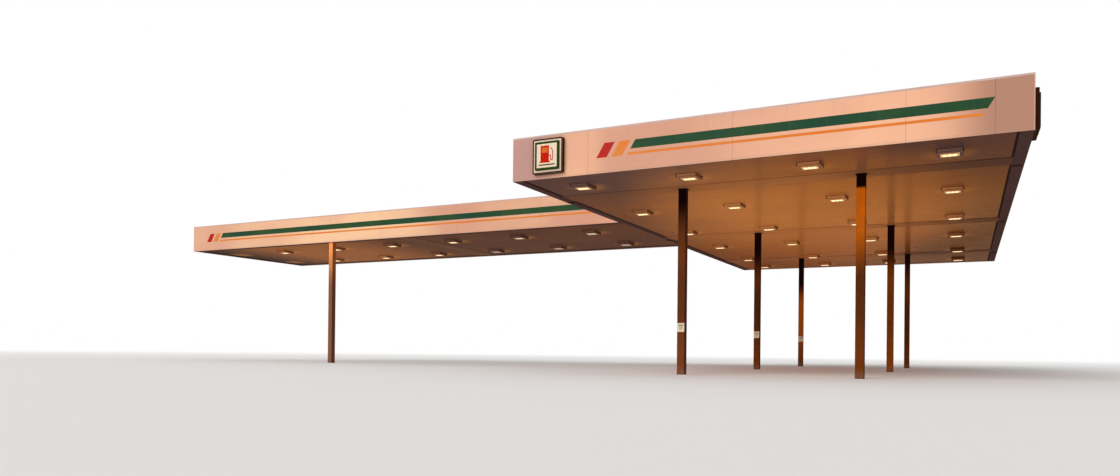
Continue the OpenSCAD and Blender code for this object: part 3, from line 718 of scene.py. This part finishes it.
def add_turned(bm, centre, axis, form, size=1.0):
    """Closed form with its sides and rings (radius, distance along the axis), times a size."""
    sides, rings = form
    axis = Vector(axis).normalized()
    across = axis.orthogonal().normalized()
    up = axis.cross(across)
    turns = [2 * math.pi * i / sides for i in range(sides)]
    spokes = [across * math.cos(turn) + up * math.sin(turn) for turn in turns]
    add_loops(bm, [
        [Vector(centre) + axis * (along * size) + spoke * (radius * size) for spoke in spokes]
        for radius, along in rings
    ])


def add_bolt(bm, centre, axis, size):
    """Hexagon head of that thread size on a washer; the axis points out of the surface."""
    add_turned(bm, centre, axis, WASHER, size)
    add_turned(bm, centre, axis, BOLT_HEAD, size)


def add_frame(bm, box, outer, inner, low, high):
    """Square ring round a square box, between two distances from its sides and two heights."""
    x, y = middle(*box)
    half = (box[1].x - box[0].x) / 2
    add_loops(bm, [
        [(x + (half + out) * a, y + (half + out) * b, z) for a, b in CORNER_WAYS]
        for out, z in ((outer, low), (outer, high), (inner, high), (inner, low))
    ], ring=True)


def make_piece(material, name=None):
    """Makes build(bm) into a mesh piece of its name that rides on the canopy."""
    def make(build):
        label = name or build.__name__
        bm = bmesh.new()
        build(bm)
        bmesh.ops.recalc_face_normals(bm, faces=bm.faces)
        mesh = bpy.data.meshes.new(label)
        bm.to_mesh(mesh)
        bm.free()
        mesh.materials.append(material)
        piece = add_object(label, mesh)
        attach(piece, BODY)
        return piece
    return make


def solids(name):
    """Boxes (low, high) of a node's separate solids, sorted by their low corners."""
    mesh = NODES[name].data
    keys = [tuple(round(c, 4) for c in v.co) for v in mesh.vertices]
    parent = {key: key for key in keys}

    def root(key):
        while parent[key] != key:
            parent[key] = parent[parent[key]]
            key = parent[key]
        return key

    for polygon in mesh.polygons:
        first = root(keys[polygon.vertices[0]])
        for vertex in polygon.vertices[1:]:
            parent[root(keys[vertex])] = first
    groups = {}
    for key in parent:
        groups.setdefault(root(key), []).append(key)
    boxes = [
        [Vector([end(axis) for axis in zip(*points)]) for end in (min, max)]
        for points in groups.values()
    ]
    return sorted(boxes, key=lambda box: tuple(box[0]))


SCENE.view_settings.view_transform = "Standard"
make_camera()
make_stage()
make_world()
make_sun()
for fill, area in FILLS.items():
    make_fill(fill, *area)

FASCIA = fascia_paint()
CAP = cap_paint()
SOFFIT = sheet_paint("soffit_paint", roof_tone, main_gloss, (0.18, 0.24))
LINK_SOFFIT = sheet_paint("link_soffit_paint", roof_tone, 0.1, (0.1, 0.16))
STRIP = sheet_paint("strip_paint", strip_tone, 0.2, (0.16, 0.24))
TRIM = sheet_paint("soffit_trim", trim_tone, 0.06, (0.28, 0.4))
LIGHT_RIM = sheet_paint("light_rim", light_tone, 0.12, (0.25, 0.35))
LIGHT_BOX = sheet_paint("light_box", light_tone, 0.05, (0.3, 0.45))
STEEL = steel_primer()
LENS = lit_lens()
# Plain paints: darker and lighter tone, range of roughness, specular level and depth of grain
SIGN_CASE = plain_paint("sign_case", (0.04, 0.016, 0.008), (0.055, 0.023, 0.011), (0.25, 0.4))
SIGN_FACE = plain_paint(
    "sign_face", (0.78, 0.6, 0.43), (0.84, 0.66, 0.48), (0.15, 0.25), 0.1, 0.0
)
SIGN_RED = plain_paint("sign_red", (0.5, 0.01, 0.005), (0.58, 0.018, 0.008), (0.2, 0.3))
SIGN_ORANGE = plain_paint("sign_orange", (0.66, 0.13, 0.02), (0.74, 0.17, 0.03), (0.2, 0.3))
SIGN_GREEN = plain_paint("sign_green", (0.03, 0.042, 0.009), (0.02, 0.06, 0.013), (0.2, 0.3))
DARK_TRIM = plain_paint("dark_trim", (0.03, 0.015, 0.01), (0.045, 0.022, 0.016), (0.35, 0.5))
LIGHT_SEAL = plain_paint("light_seal", (0.1, 0.05, 0.03), (0.14, 0.07, 0.042), (0.5, 0.7))
GASKET = plain_paint("gasket", (0.016, 0.01, 0.008), (0.028, 0.018, 0.014), (0.5, 0.7))
CORNER_PAINT = plain_paint("corner_trim", (0.58, 0.32, 0.23), (0.64, 0.37, 0.27), (0.3, 0.4), 0.1)
NOTICE = plain_paint("notice", (0.62, 0.52, 0.34), (0.68, 0.58, 0.4), (0.3, 0.4), 0.5)
ZINC = plain_paint("zinc_fixings", (0.34, 0.34, 0.33), (0.46, 0.46, 0.45), (0.35, 0.5), 0.5)
GREEN_FILM = film("green_film", (0.03, 0.075, 0.026), (0.014, 0.062, 0.032))
ORANGE_FILM = film("orange_film", (0.74, 0.24, 0.05), (0.76, 0.185, 0.022))
RED_FILM = film("red_film", (0.48, 0.022, 0.014), (0.45, 0.009, 0.008))

# Finishes of the CAD nodes by their material slots, and of those that differ from their slot
SLOT_FINISHES = {
    "frame_steel": STEEL, "fascia_panel": FASCIA, "fascia_cap": CAP, "soffit_paint": SOFFIT,
    "soffit_trim": TRIM, "bronze_trim": DARK_TRIM, "sign_case": SIGN_CASE, "sign_face": SIGN_FACE,
    "light_rim": LIGHT_RIM, "light_housing": LIGHT_BOX, "light_lens": LENS, "notice_plate": NOTICE,
}
NODE_FINISHES = {
    "link_deck_pans": LINK_SOFFIT, "beam_strips": STRIP, "link_cross_strip": STRIP,
    **{name: column_paint(name, *looks) for name, looks in COLUMN_LOOKS.items()},
}
for part in frame["record"]["subparts"]:
    for slot in NODES[part["node"]].material_slots:
        slot.material = NODE_FINISHES.get(part["node"]) or SLOT_FINISHES[part["material_slot"]]


# Fascia: stripes on every side, and trims over the outer corners

MAIN_LOW, MAIN_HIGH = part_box("fascia_front")[0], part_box("fascia_back")[1]
LINK_LOW, LINK_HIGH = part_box("link_fascia_front")[0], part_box("link_fascia_back")[1]
FASCIA_LOW, FASCIA_HIGH = MAIN_LOW.z, MAIN_HIGH.z
SPAN = FASCIA_HIGH - FASCIA_LOW
# Sides: node, outward direction, and where the stripes start and stop from its left and right end
SIDES = (
    ("fascia_front", (0, -1), 2.338, 0.74),
    ("fascia_right", (1, 0), 2.338, 0.74),
    ("fascia_back", (0, 1), 2.338, 0.74),
    ("fascia_left_front", (-1, 0), 0.71, 0.74),
    ("fascia_left_back", (-1, 0), 0.71, 0.74),
    ("link_fascia_front", (0, -1), 0.71, 0.3),
    ("link_fascia_back", (0, 1), 0.71, 0.71),
    ("link_fascia_end", (-1, 0), 0.71, 0.71),
)
# Bands from low to high as shares of the fascia's height
GREEN_BAND = (0.47, 0.66)
ORANGE_BAND = (0.34, 0.395)
BLOCK_BAND = (0.34, 0.66)
# Slant of the ends, a lean to the right in metres for each metre of height
SLANT = 0.6
BLOCK_W = 0.3
BLOCK_STEP = BLOCK_W + 0.14
FILM_T = 0.0005
# Films: colour, material, and shapes with their band, the steps to their left end and their
# width, or None for one that runs to the side's right end
FILMS = (
    ("green", GREEN_FILM, [(GREEN_BAND, 2, None)]),
    ("orange", ORANGE_FILM, [(ORANGE_BAND, 2, None), (BLOCK_BAND, 1, BLOCK_W)]),
    ("red", RED_FILM, [(BLOCK_BAND, 0, BLOCK_W)]),
)


def clip(outline, limit, keep_above):
    """Part of an outline of (u, z) points on one side of a line of constant u."""
    kept = []
    for i in range(len(outline)):
        a, b = outline[i - 1], outline[i]
        a_in = (a[0] >= limit) == keep_above
        b_in = (b[0] >= limit) == keep_above
        if a_in != b_in:
            share = (limit - a[0]) / (b[0] - a[0])
            kept.append((limit, a[1] + share * (b[1] - a[1])))
        if b_in:
            kept.append(b)
    return kept


def stripes(shapes):
    """Builder of one colour's film on every side."""
    def build(bm):
        for name, out, from_left, from_right in SIDES:
            low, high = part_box(name)
            right = (-out[1], out[0])
            corner = [high[i] if right[i] < out[i] else low[i] for i in (0, 1)]

            def along(point):
                """Distance of a point from the side's left end."""
                return sum((point[i] - corner[i]) * right[i] for i in (0, 1))

            for band, steps, width in shapes:
                start = from_left + steps * BLOCK_STEP
                stop = max(along(low), along(high)) - from_right - SLANT * BLOCK_BAND[1] * SPAN
                stop = start + width if width else stop
                outline = [
                    (end + SLANT * share * SPAN, FASCIA_LOW + share * SPAN)
                    for share, ends in zip(band, ((start, stop), (stop, start))) for end in ends
                ]
                for panel in solids(name):
                    ends = sorted(along(point) for point in panel)
                    part = clip(clip(outline, ends[0], True), ends[1], False)
                    if len(part) > 2:
                        places = [
                            (corner[0] + right[0] * u, corner[1] + right[1] * u, z) for u, z in part
                        ]
                        add_prism(bm, places, (out[0] * FILM_T, out[1] * FILM_T, 0))
    return build


for colour, film_paint, shapes in FILMS:
    make_piece(film_paint, "fascia_stripes_" + colour)(stripes(shapes))

CORNER_LEG = 0.02
CORNER_T = 0.0015
CAP_LEG = 0.045
# How far the corner trims reach under the caps
CORNER_LAP = 0.001
# Outer corners: place, and the directions in which the roof lies
CORNERS = (
    (MAIN_LOW.x, MAIN_LOW.y, 1, 1), (MAIN_HIGH.x, MAIN_LOW.y, -1, 1),
    (MAIN_HIGH.x, MAIN_HIGH.y, -1, -1), (MAIN_LOW.x, MAIN_HIGH.y, 1, -1),
    (LINK_LOW.x, LINK_LOW.y, 1, 1), (LINK_LOW.x, LINK_HIGH.y, 1, -1),
)


@make_piece(CORNER_PAINT)
def fascia_corner_trims(bm):
    top = FASCIA_HIGH - CAP_LEG + CORNER_LAP
    outline = [
        (-CORNER_T, -CORNER_T), (CORNER_LEG, -CORNER_T), (CORNER_LEG, 0), (0, 0),
        (0, CORNER_LEG), (-CORNER_T, CORNER_LEG),
    ]
    for x, y, dx, dy in CORNERS:
        points = [(x + dx * a, y + dy * b, FASCIA_LOW) for a, b in outline]
        add_prism(bm, points, (0, 0, top - FASCIA_LOW))


# Joint strips: how far they lie back from the face, and their play beside and above them
JOINT_RECESS = 0.0012
JOINT_PLAY = 0.0002
JOINT_END = 0.001


@make_piece(GASKET)
def fascia_joint_strips(bm):
    """Dark gaskets in the open joints between panels."""
    for name, out, _, _ in SIDES:
        axis = 1 if out[0] else 0
        boxes = sorted(solids(name), key=lambda box: box[0][axis])
        for (_, before), (after, _) in zip(boxes, boxes[1:]):
            low, high = Vector(after), Vector(before)
            low[axis], high[axis] = before[axis] + JOINT_PLAY, after[axis] - JOINT_PLAY
            low.z, high.z = FASCIA_LOW + JOINT_END, FASCIA_HIGH - JOINT_END
            face = low if out[1 - axis] < 0 else high
            face[1 - axis] -= out[1 - axis] * JOINT_RECESS
            add_box(bm, low, high)


# Lights: seals against the pans and round the rims and lenses, and screws in the rims

LIGHTS = solids("light_frames")
RIM_W = 0.075
RIM_SCREW = 0.008
# Bead against the pan and bead round the rim's top: width and height
PAN_SEAL = (0.006, 0.01)
RIM_SEAL = (0.003, 0.004)
# Gasket round a lens: outer and inner distance from the rim's inner edge, and thickness
LENS_GASKET = (0.009, 0.0002, 0.004)


@make_piece(LIGHT_SEAL)
def light_seals(bm):
    for box in LIGHTS:
        top = box[1].z
        width, tall = PAN_SEAL
        add_frame(bm, box, width, 0.0, PAN_LOW - tall, PAN_LOW)
        width, tall = RIM_SEAL
        add_frame(bm, box, width, 0.0, top - tall, top + tall)


@make_piece(GASKET)
def lens_gaskets(bm):
    outer, inner, thick = LENS_GASKET
    for box in LIGHTS:
        low = box[0].z
        add_frame(bm, box, outer - RIM_W, inner - RIM_W, low - thick, low)


@make_piece(ZINC)
def light_screws(bm):
    for low, high in LIGHTS:
        for x in (low.x + RIM_W / 2, (low.x + high.x) / 2, high.x - RIM_W / 2):
            for y in (low.y + RIM_W / 2, high.y - RIM_W / 2):
                add_turned(bm, (x, y, low.z), DOWN, SCREW_HEAD, RIM_SCREW)


# Columns: collars against the strips, nuts on the beams above

STRIP_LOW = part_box("beam_strips")[0].z
COLUMN_BOXES = [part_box(name) for name in COLUMN_LOOKS]
COLLAR_W = 0.03
COLLAR_T = 0.003
COLLAR_PLAY = 0.0003
FLANGE_T = 0.018
# Half distances between the nuts along X and Y, and the size of frame bolts
NUT_X, NUT_Y = 0.065, 0.055
BOLT = 0.02


@make_piece(DARK_TRIM)
def column_collars(bm):
    for box in COLUMN_BOXES:
        add_frame(bm, box, COLLAR_W, COLLAR_PLAY, STRIP_LOW - COLLAR_T, STRIP_LOW)


@make_piece(ZINC)
def column_nuts(bm):
    for box in COLUMN_BOXES:
        x, y = middle(*box)
        for dx in (-NUT_X, NUT_X):
            for dy in (-NUT_Y, NUT_Y):
                add_bolt(bm, (x + dx, y + dy, box[1].z + FLANGE_T), UP, BOLT)


# Signs: formed faces with a plain border and a plain pump figure, screws, and seals behind

SIGN_EDGE = 0.008
SIGN_FRAME_T = 0.016
SIGN_OUT = 0.048
CASE_D = 0.107
INK_T = 0.0003
CORNER_STEPS = 8
# Rings of the formed face: inset from the case's outline, corner radius, height
FACE_RINGS = (
    (0.0045, 0.0375, -0.004), (0.0045, 0.0375, 0.0), (0.087, 0.028, 0.0), (0.092, 0.024, 0.004),
    (0.096, 0.022, 0.043), (0.099, 0.02, 0.0465), (0.105, 0.016, SIGN_OUT - INK_T),
)
# Rings of the border's film, from the foot of the raised middle over its edge and back below
BORDER_RINGS = (
    (0.0914, 0.0245, 0.0046), (0.0955, 0.0224, 0.0434), (0.0987, 0.0203, 0.047),
    (0.105, 0.016, SIGN_OUT), (0.155, 0.008, SIGN_OUT), (0.155, 0.008, SIGN_OUT - INK_T),
    *FACE_RINGS[:2:-1],
)
# Pump figure: boxes (u0, v0, u1, v1) of its body, window and the line below, and its hose
PUMP_BOXES = (
    (-0.19, 0.225, 0.07, 0.275), (-0.19, 0.08, -0.15, 0.225), (0.03, 0.08, 0.07, 0.225),
    (-0.19, -0.15, 0.07, 0.08), (-0.22, -0.195, 0.1, -0.15),
)
PUMP_WINDOW = (-0.15, 0.08, 0.03, 0.225)
UNDERLINE = (-0.25, -0.27, 0.25, -0.235)
HOSE_PATH = (
    (0.0702, 0.0), (0.123, 0.0), (0.123, -0.135), (0.188, -0.135), (0.188, 0.125), (0.12, 0.21),
)
HOSE_W = 0.026
HOSE_ROUNDS = 3
# Screws: distance from the case's outline, radius, and places as shares of the half sizes
SIGN_SCREW_IN = 0.025
SIGN_SCREW = 0.006
SIGN_SCREW_SPOTS = [spot for a in (-0.5, 0.5) for b in (-1, 1) for spot in ((a, b), (b, a))]
# Bead behind a case: inset and corner radius of its outer and inner edge, distance from the
# case's back, and thickness
SEAL_OUTER, SEAL_INNER = (-0.006, 0.048), (-0.0003, 0.0423)
SEAL_BACK = 0.0008
SEAL_T = 0.006


class Sign:
    """Frame of one sign: u to the right, v up, w out of the case's mouth."""

    def __init__(self, low, high):
        axis = long_axis(low, high)
        self.half_u = (high[axis] - low[axis]) / 2 + SIGN_EDGE
        self.half_v = (high.z - low.z) / 2 + SIGN_EDGE
        self.origin = Vector((*middle(low, high), (low.z + high.z) / 2))
        self.origin[1 - axis] = low.x if axis else high.y
        self.right, self.out = Vector((1 - axis, axis, 0)), Vector((axis, axis - 1, 0))

    def at(self, u, v, w):
        return self.origin + self.right * u + Vector((0, 0, v)) + self.out * w

    def loop(self, inset, radius, w):
        """Points of a rectangle with round corners, that far inside the case's outline."""
        points = []
        for quarter, (a, b) in enumerate(CORNER_WAYS):
            u, v = a * (self.half_u - inset - radius), b * (self.half_v - inset - radius)
            for step in range(CORNER_STEPS + 1):
                turn = math.radians(90 * (quarter + step / CORNER_STEPS))
                points.append(self.at(u + radius * math.cos(turn), v + radius * math.sin(turn), w))
        return points


SIGNS = [Sign(low, high) for low, high in solids("sign_frames")]


def add_ink(bm, sign, outline):
    """Flat figure printed on a sign's raised middle."""
    base = SIGN_OUT - INK_T
    add_prism(bm, [sign.at(u, v, base) for u, v in outline], sign.out * INK_T)


def add_ink_box(bm, sign, u0, v0, u1, v1):
    add_ink(bm, sign, [(u0, v0), (u1, v0), (u1, v1), (u0, v1)])


def add_stroke(bm, sign, path, width):
    """Line of that width along a path."""
    edges, points = [], [Vector(point) for point in path]
    for before, point, after in zip(points[:1] + points, points, points[1:] + points[-1:]):
        way = (after - before).normalized()
        aside = Vector((-way.y, way.x)) * width / 2
        edges.append((point + aside, point - aside))
    for (left, right), (next_left, next_right) in zip(edges, edges[1:]):
        add_ink(bm, sign, [left, right, next_right, next_left])


def smooth(path, rounds):
    """Cuts the corners of a path, twice as finely each round."""
    for _ in range(rounds):
        cuts = [
            (b[0] * share + a[0] * (1 - share), b[1] * share + a[1] * (1 - share))
            for a, b in zip(path, path[1:]) for share in (0.25, 0.75)
        ]
        path = [path[0], *cuts, path[-1]]
    return path


@make_piece(SIGN_FACE)
def sign_formed_faces(bm):
    for sign in SIGNS:
        add_loops(bm, [sign.loop(*ring) for ring in FACE_RINGS])


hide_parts("sign_faces")


@make_piece(SIGN_GREEN)
def sign_borders(bm):
    """Film over the edge of the raised middle, and a plain line under the figure."""
    for sign in SIGNS:
        add_loops(bm, [sign.loop(*ring) for ring in BORDER_RINGS], ring=True)
        add_ink_box(bm, sign, *UNDERLINE)


@make_piece(SIGN_RED)
def sign_pump_figures(bm):
    for sign in SIGNS:
        for box in PUMP_BOXES:
            add_ink_box(bm, sign, *box)
        add_stroke(bm, sign, smooth(HOSE_PATH, HOSE_ROUNDS), HOSE_W)


@make_piece(SIGN_ORANGE)
def sign_pump_windows(bm):
    for sign in SIGNS:
        add_ink_box(bm, sign, *PUMP_WINDOW)


@make_piece(ZINC)
def sign_screws(bm):
    for sign in SIGNS:
        u, v = sign.half_u - SIGN_SCREW_IN, sign.half_v - SIGN_SCREW_IN
        for a, b in SIGN_SCREW_SPOTS:
            spot = sign.at(a * u, b * v, SIGN_FRAME_T)
            add_turned(bm, spot, sign.out, SCREW_HEAD, SIGN_SCREW)


@make_piece(GASKET)
def sign_seals(bm):
    """Bead of sealant between a case's back and the fascia."""
    for sign in SIGNS:
        outer, inner = [sign.loop(*edge, -CASE_D + SEAL_BACK) for edge in (SEAL_OUTER, SEAL_INNER)]
        for i in range(len(outer)):
            add_prism(bm, (outer[i - 1], outer[i], inner[i], inner[i - 1]), sign.out * SEAL_T)


# Steel frame: bolts at fin plates and end plates, clips that hold the pans' ribs

WEB_T = 0.006
PLATE_T = 0.012
FIN_BOLT_FROM_BEAM = 0.075
FIN_BOLT_HEIGHTS = (0.085, 0.155, 0.225)
END_BOLT_HEIGHTS = (0.06, 0.16, 0.26)
HALF_FLANGE = 0.09
PURLIN_H = 0.31
PURLINS = solids("purlins")
LINK_PURLINS = solids("link_cross_purlins")
BEAMS = solids("cross_beams")
BEAM_YS = [middle(*box)[1] for box in BEAMS]
GIRDERS = sorted(solids("link_girders"), key=lambda box: box[0].y)
GIRDER_YS = [GIRDERS[0][0].y + HALF_FLANGE, GIRDERS[1][1].y - HALF_FLANGE]
UPRIGHT_BOLT = 0.014
UPRIGHT_BOLT_HEIGHTS = (0.06, 0.26)
# Distance from a fascia's face to the inner face of the edge tube behind it
TUBE_INNER = 0.175
# Least distance of an upright's bolts from the roof's sides
UPRIGHT_BOLT_IN = 0.25


@make_piece(ZINC)
def frame_bolts(bm):
    spots = {
        ((low.x + high.x) / 2, y + way * FIN_BOLT_FROM_BEAM, high.z - PURLIN_H)
        for purlins, ys in ((PURLINS, BEAM_YS), (LINK_PURLINS, GIRDER_YS))
        for low, high in purlins for y in ys
        for end, way in ((low.y, 1), (high.y, -1)) if abs(end - y) < FIN_BOLT_FROM_BEAM
    }
    for x, y, z in sorted(spots):
        for rise in FIN_BOLT_HEIGHTS:
            add_bolt(bm, (x - WEB_T / 2, y, z + rise), (-1, 0, 0), BOLT)
            add_bolt(bm, (x + WEB_T / 2 + PLATE_T, y, z + rise), (1, 0, 0), BOLT)
    for (low, high), y in zip(BEAMS + GIRDERS, BEAM_YS + GIRDER_YS):
        for x, way in ((low.x + PLATE_T, 1), (high.x - PLATE_T, -1)):
            for dy in (-NUT_Y, NUT_Y):
                for rise in END_BOLT_HEIGHTS:
                    add_bolt(bm, (x, y + dy, low.z + rise), (way, 0, 0), BOLT)


@make_piece(ZINC)
def upright_bolts(bm):
    """Bolts through the edge tubes into the uprights, seen on the tubes' inner faces."""
    for name, roof_low, roof_high in (
        ("fascia_uprights", MAIN_LOW, MAIN_HIGH), ("link_uprights", LINK_LOW, LINK_HIGH)
    ):
        on_main = name == "fascia_uprights"
        left, front = roof_low.x + TUBE_INNER, roof_low.y + TUBE_INNER
        right, back = roof_high.x - TUBE_INNER, roof_high.y - TUBE_INNER
        for low, high in solids(name):
            x, y = middle(low, high)
            inside = min(max(x, roof_low.x + UPRIGHT_BOLT_IN), roof_high.x - UPRIGHT_BOLT_IN)
            sides = (
                (y < front and on_main, (inside, front), (0, 1, 0)),
                (y > back and on_main, (inside, back), (0, -1, 0)),
                (x < left and front < y < back, (left, y), (1, 0, 0)),
                (x > right and on_main, (right, y), (-1, 0, 0)),
            )
            for _, spot, axis in [side for side in sides if side[0]][:1]:
                for rise in UPRIGHT_BOLT_HEIGHTS:
                    add_bolt(bm, (*spot, low.z + rise), axis, UPRIGHT_BOLT)


PAN_W = 0.406
RIB_TOP = PAN_LOW + 0.076
FLANGE_TOP = RIB_TOP + 0.01
CLIP_T = 0.003
CLIP_W = 0.03
# Profile of a clip: distance out from the flange's edge, and height
CLIP_PROFILE = (
    (-0.022, FLANGE_TOP), (0.0004, FLANGE_TOP), (0.0004, RIB_TOP), (0.03, RIB_TOP),
    (0.03, RIB_TOP + CLIP_T), (0.0034, RIB_TOP + CLIP_T), (0.0034, FLANGE_TOP + CLIP_T),
    (-0.022, FLANGE_TOP + CLIP_T),
)
CLIP_SCREW_OUT = 0.018
CLIP_SCREW = 6, ((0.006, 0.0), (0.006, 0.004))


@make_piece(ZINC)
def deck_clips(bm):
    """Z clips with a screw that hold the ribs' tops to the purlins' lower flanges."""
    for pans, purlins in ((solids("deck_pans"), PURLINS), (solids("link_deck_pans"), LINK_PURLINS)):
        for pan_low, pan_high in pans:
            span = pan_high.y - pan_low.y
            count = round(span / PAN_W)
            ribs = [pan_low.y + i * span / count for i in range(1, count)]
            spots = [
                (edge, way, y) for low, high in purlins
                if pan_low.x < (low.x + high.x) / 2 < pan_high.x
                for y in ribs if low.y + CLIP_W < y < high.y - CLIP_W
                for edge, way in ((low.x, -1), (high.x, 1))
            ]
            for edge, way, y in spots:
                profile = [(edge + way * a, y - CLIP_W / 2, z) for a, z in CLIP_PROFILE]
                add_prism(bm, profile, (0, CLIP_W, 0))
                centre = (edge + way * CLIP_SCREW_OUT, y, RIB_TOP + CLIP_T)
                add_turned(bm, centre, UP, CLIP_SCREW)


# Screws of the caps and strips: greatest pitch, distances from the ends and edges, and radius

SCREW_PITCH = 0.6
CAP_SCREW_DROP = 0.026
CAP_SCREW_END = 0.3
CAP_SCREW = 0.006
STRIP_SCREW_END = 0.15
STRIP_SCREW_IN = 0.05
STRIP_SCREW = 0.005
# A cap nearer than this to a roof's front or left side lies along it
CAP_NEAR = 1.0


def add_row(bm, box, axis, across, z, way, radius, margin):
    """Screws along X (axis 0) or Y (axis 1) of a box, no further apart than the pitch."""
    low, high = box[0][axis] + margin, box[1][axis] - margin
    count = max(1, math.ceil((high - low) / SCREW_PITCH))
    for i in range(count + 1):
        place = low + i * (high - low) / count
        spot = (across, place, z) if axis else (place, across, z)
        add_turned(bm, spot, way, SCREW_HEAD, radius)


@make_piece(ZINC)
def cap_screws(bm):
    """Screws through the caps' inner legs."""
    for name, roof_low in (("fascia_caps", MAIN_LOW), ("link_caps", LINK_LOW)):
        for low, high in solids(name):
            axis = long_axis(low, high)
            side = 1 - axis
            near = low[side] - roof_low[side] < CAP_NEAR
            across, way = (high[side], 1) if near else (low[side], -1)
            add_row(
                bm, (low, high), axis, across, high.z - CAP_SCREW_DROP,
                (way * axis, way * side, 0), CAP_SCREW, CAP_SCREW_END
            )


@make_piece(DARK_TRIM)
def strip_screws(bm):
    """Screws along both edges of the strips."""
    for name, axis in (("beam_strips", 0), ("link_edge_strips", 0), ("link_cross_strip", 1)):
        for box in solids(name):
            low, high = box
            for across in (low[1 - axis] + STRIP_SCREW_IN, high[1 - axis] - STRIP_SCREW_IN):
                add_row(bm, box, axis, across, low.z, DOWN, STRIP_SCREW, STRIP_SCREW_END)


# Notices: rivets and plain printed bars

NOTICES = solids("notice_plates")
RIVET_IN = 0.016
RIVET = 0.006
# Bars: distances from the plate's top and sides, and height
BARS = ((0.05, 0.035, 0.026), (0.105, 0.05, 0.012), (0.14, 0.05, 0.012), (0.175, 0.07, 0.012))


@make_piece(ZINC)
def notice_rivets(bm):
    for low, high in NOTICES:
        for x in (low.x + RIVET_IN, high.x - RIVET_IN):
            for z in (low.z + RIVET_IN, high.z - RIVET_IN):
                add_turned(bm, (x, low.y, z), (0, -1, 0), SCREW_HEAD, RIVET)


@make_piece(DARK_TRIM)
def notice_bars(bm):
    for low, high in NOTICES:
        for drop, inset, tall in BARS:
            z = high.z - drop
            add_box(bm, (low.x + inset, low.y - INK_T, z - tall), (high.x - inset, low.y, z))
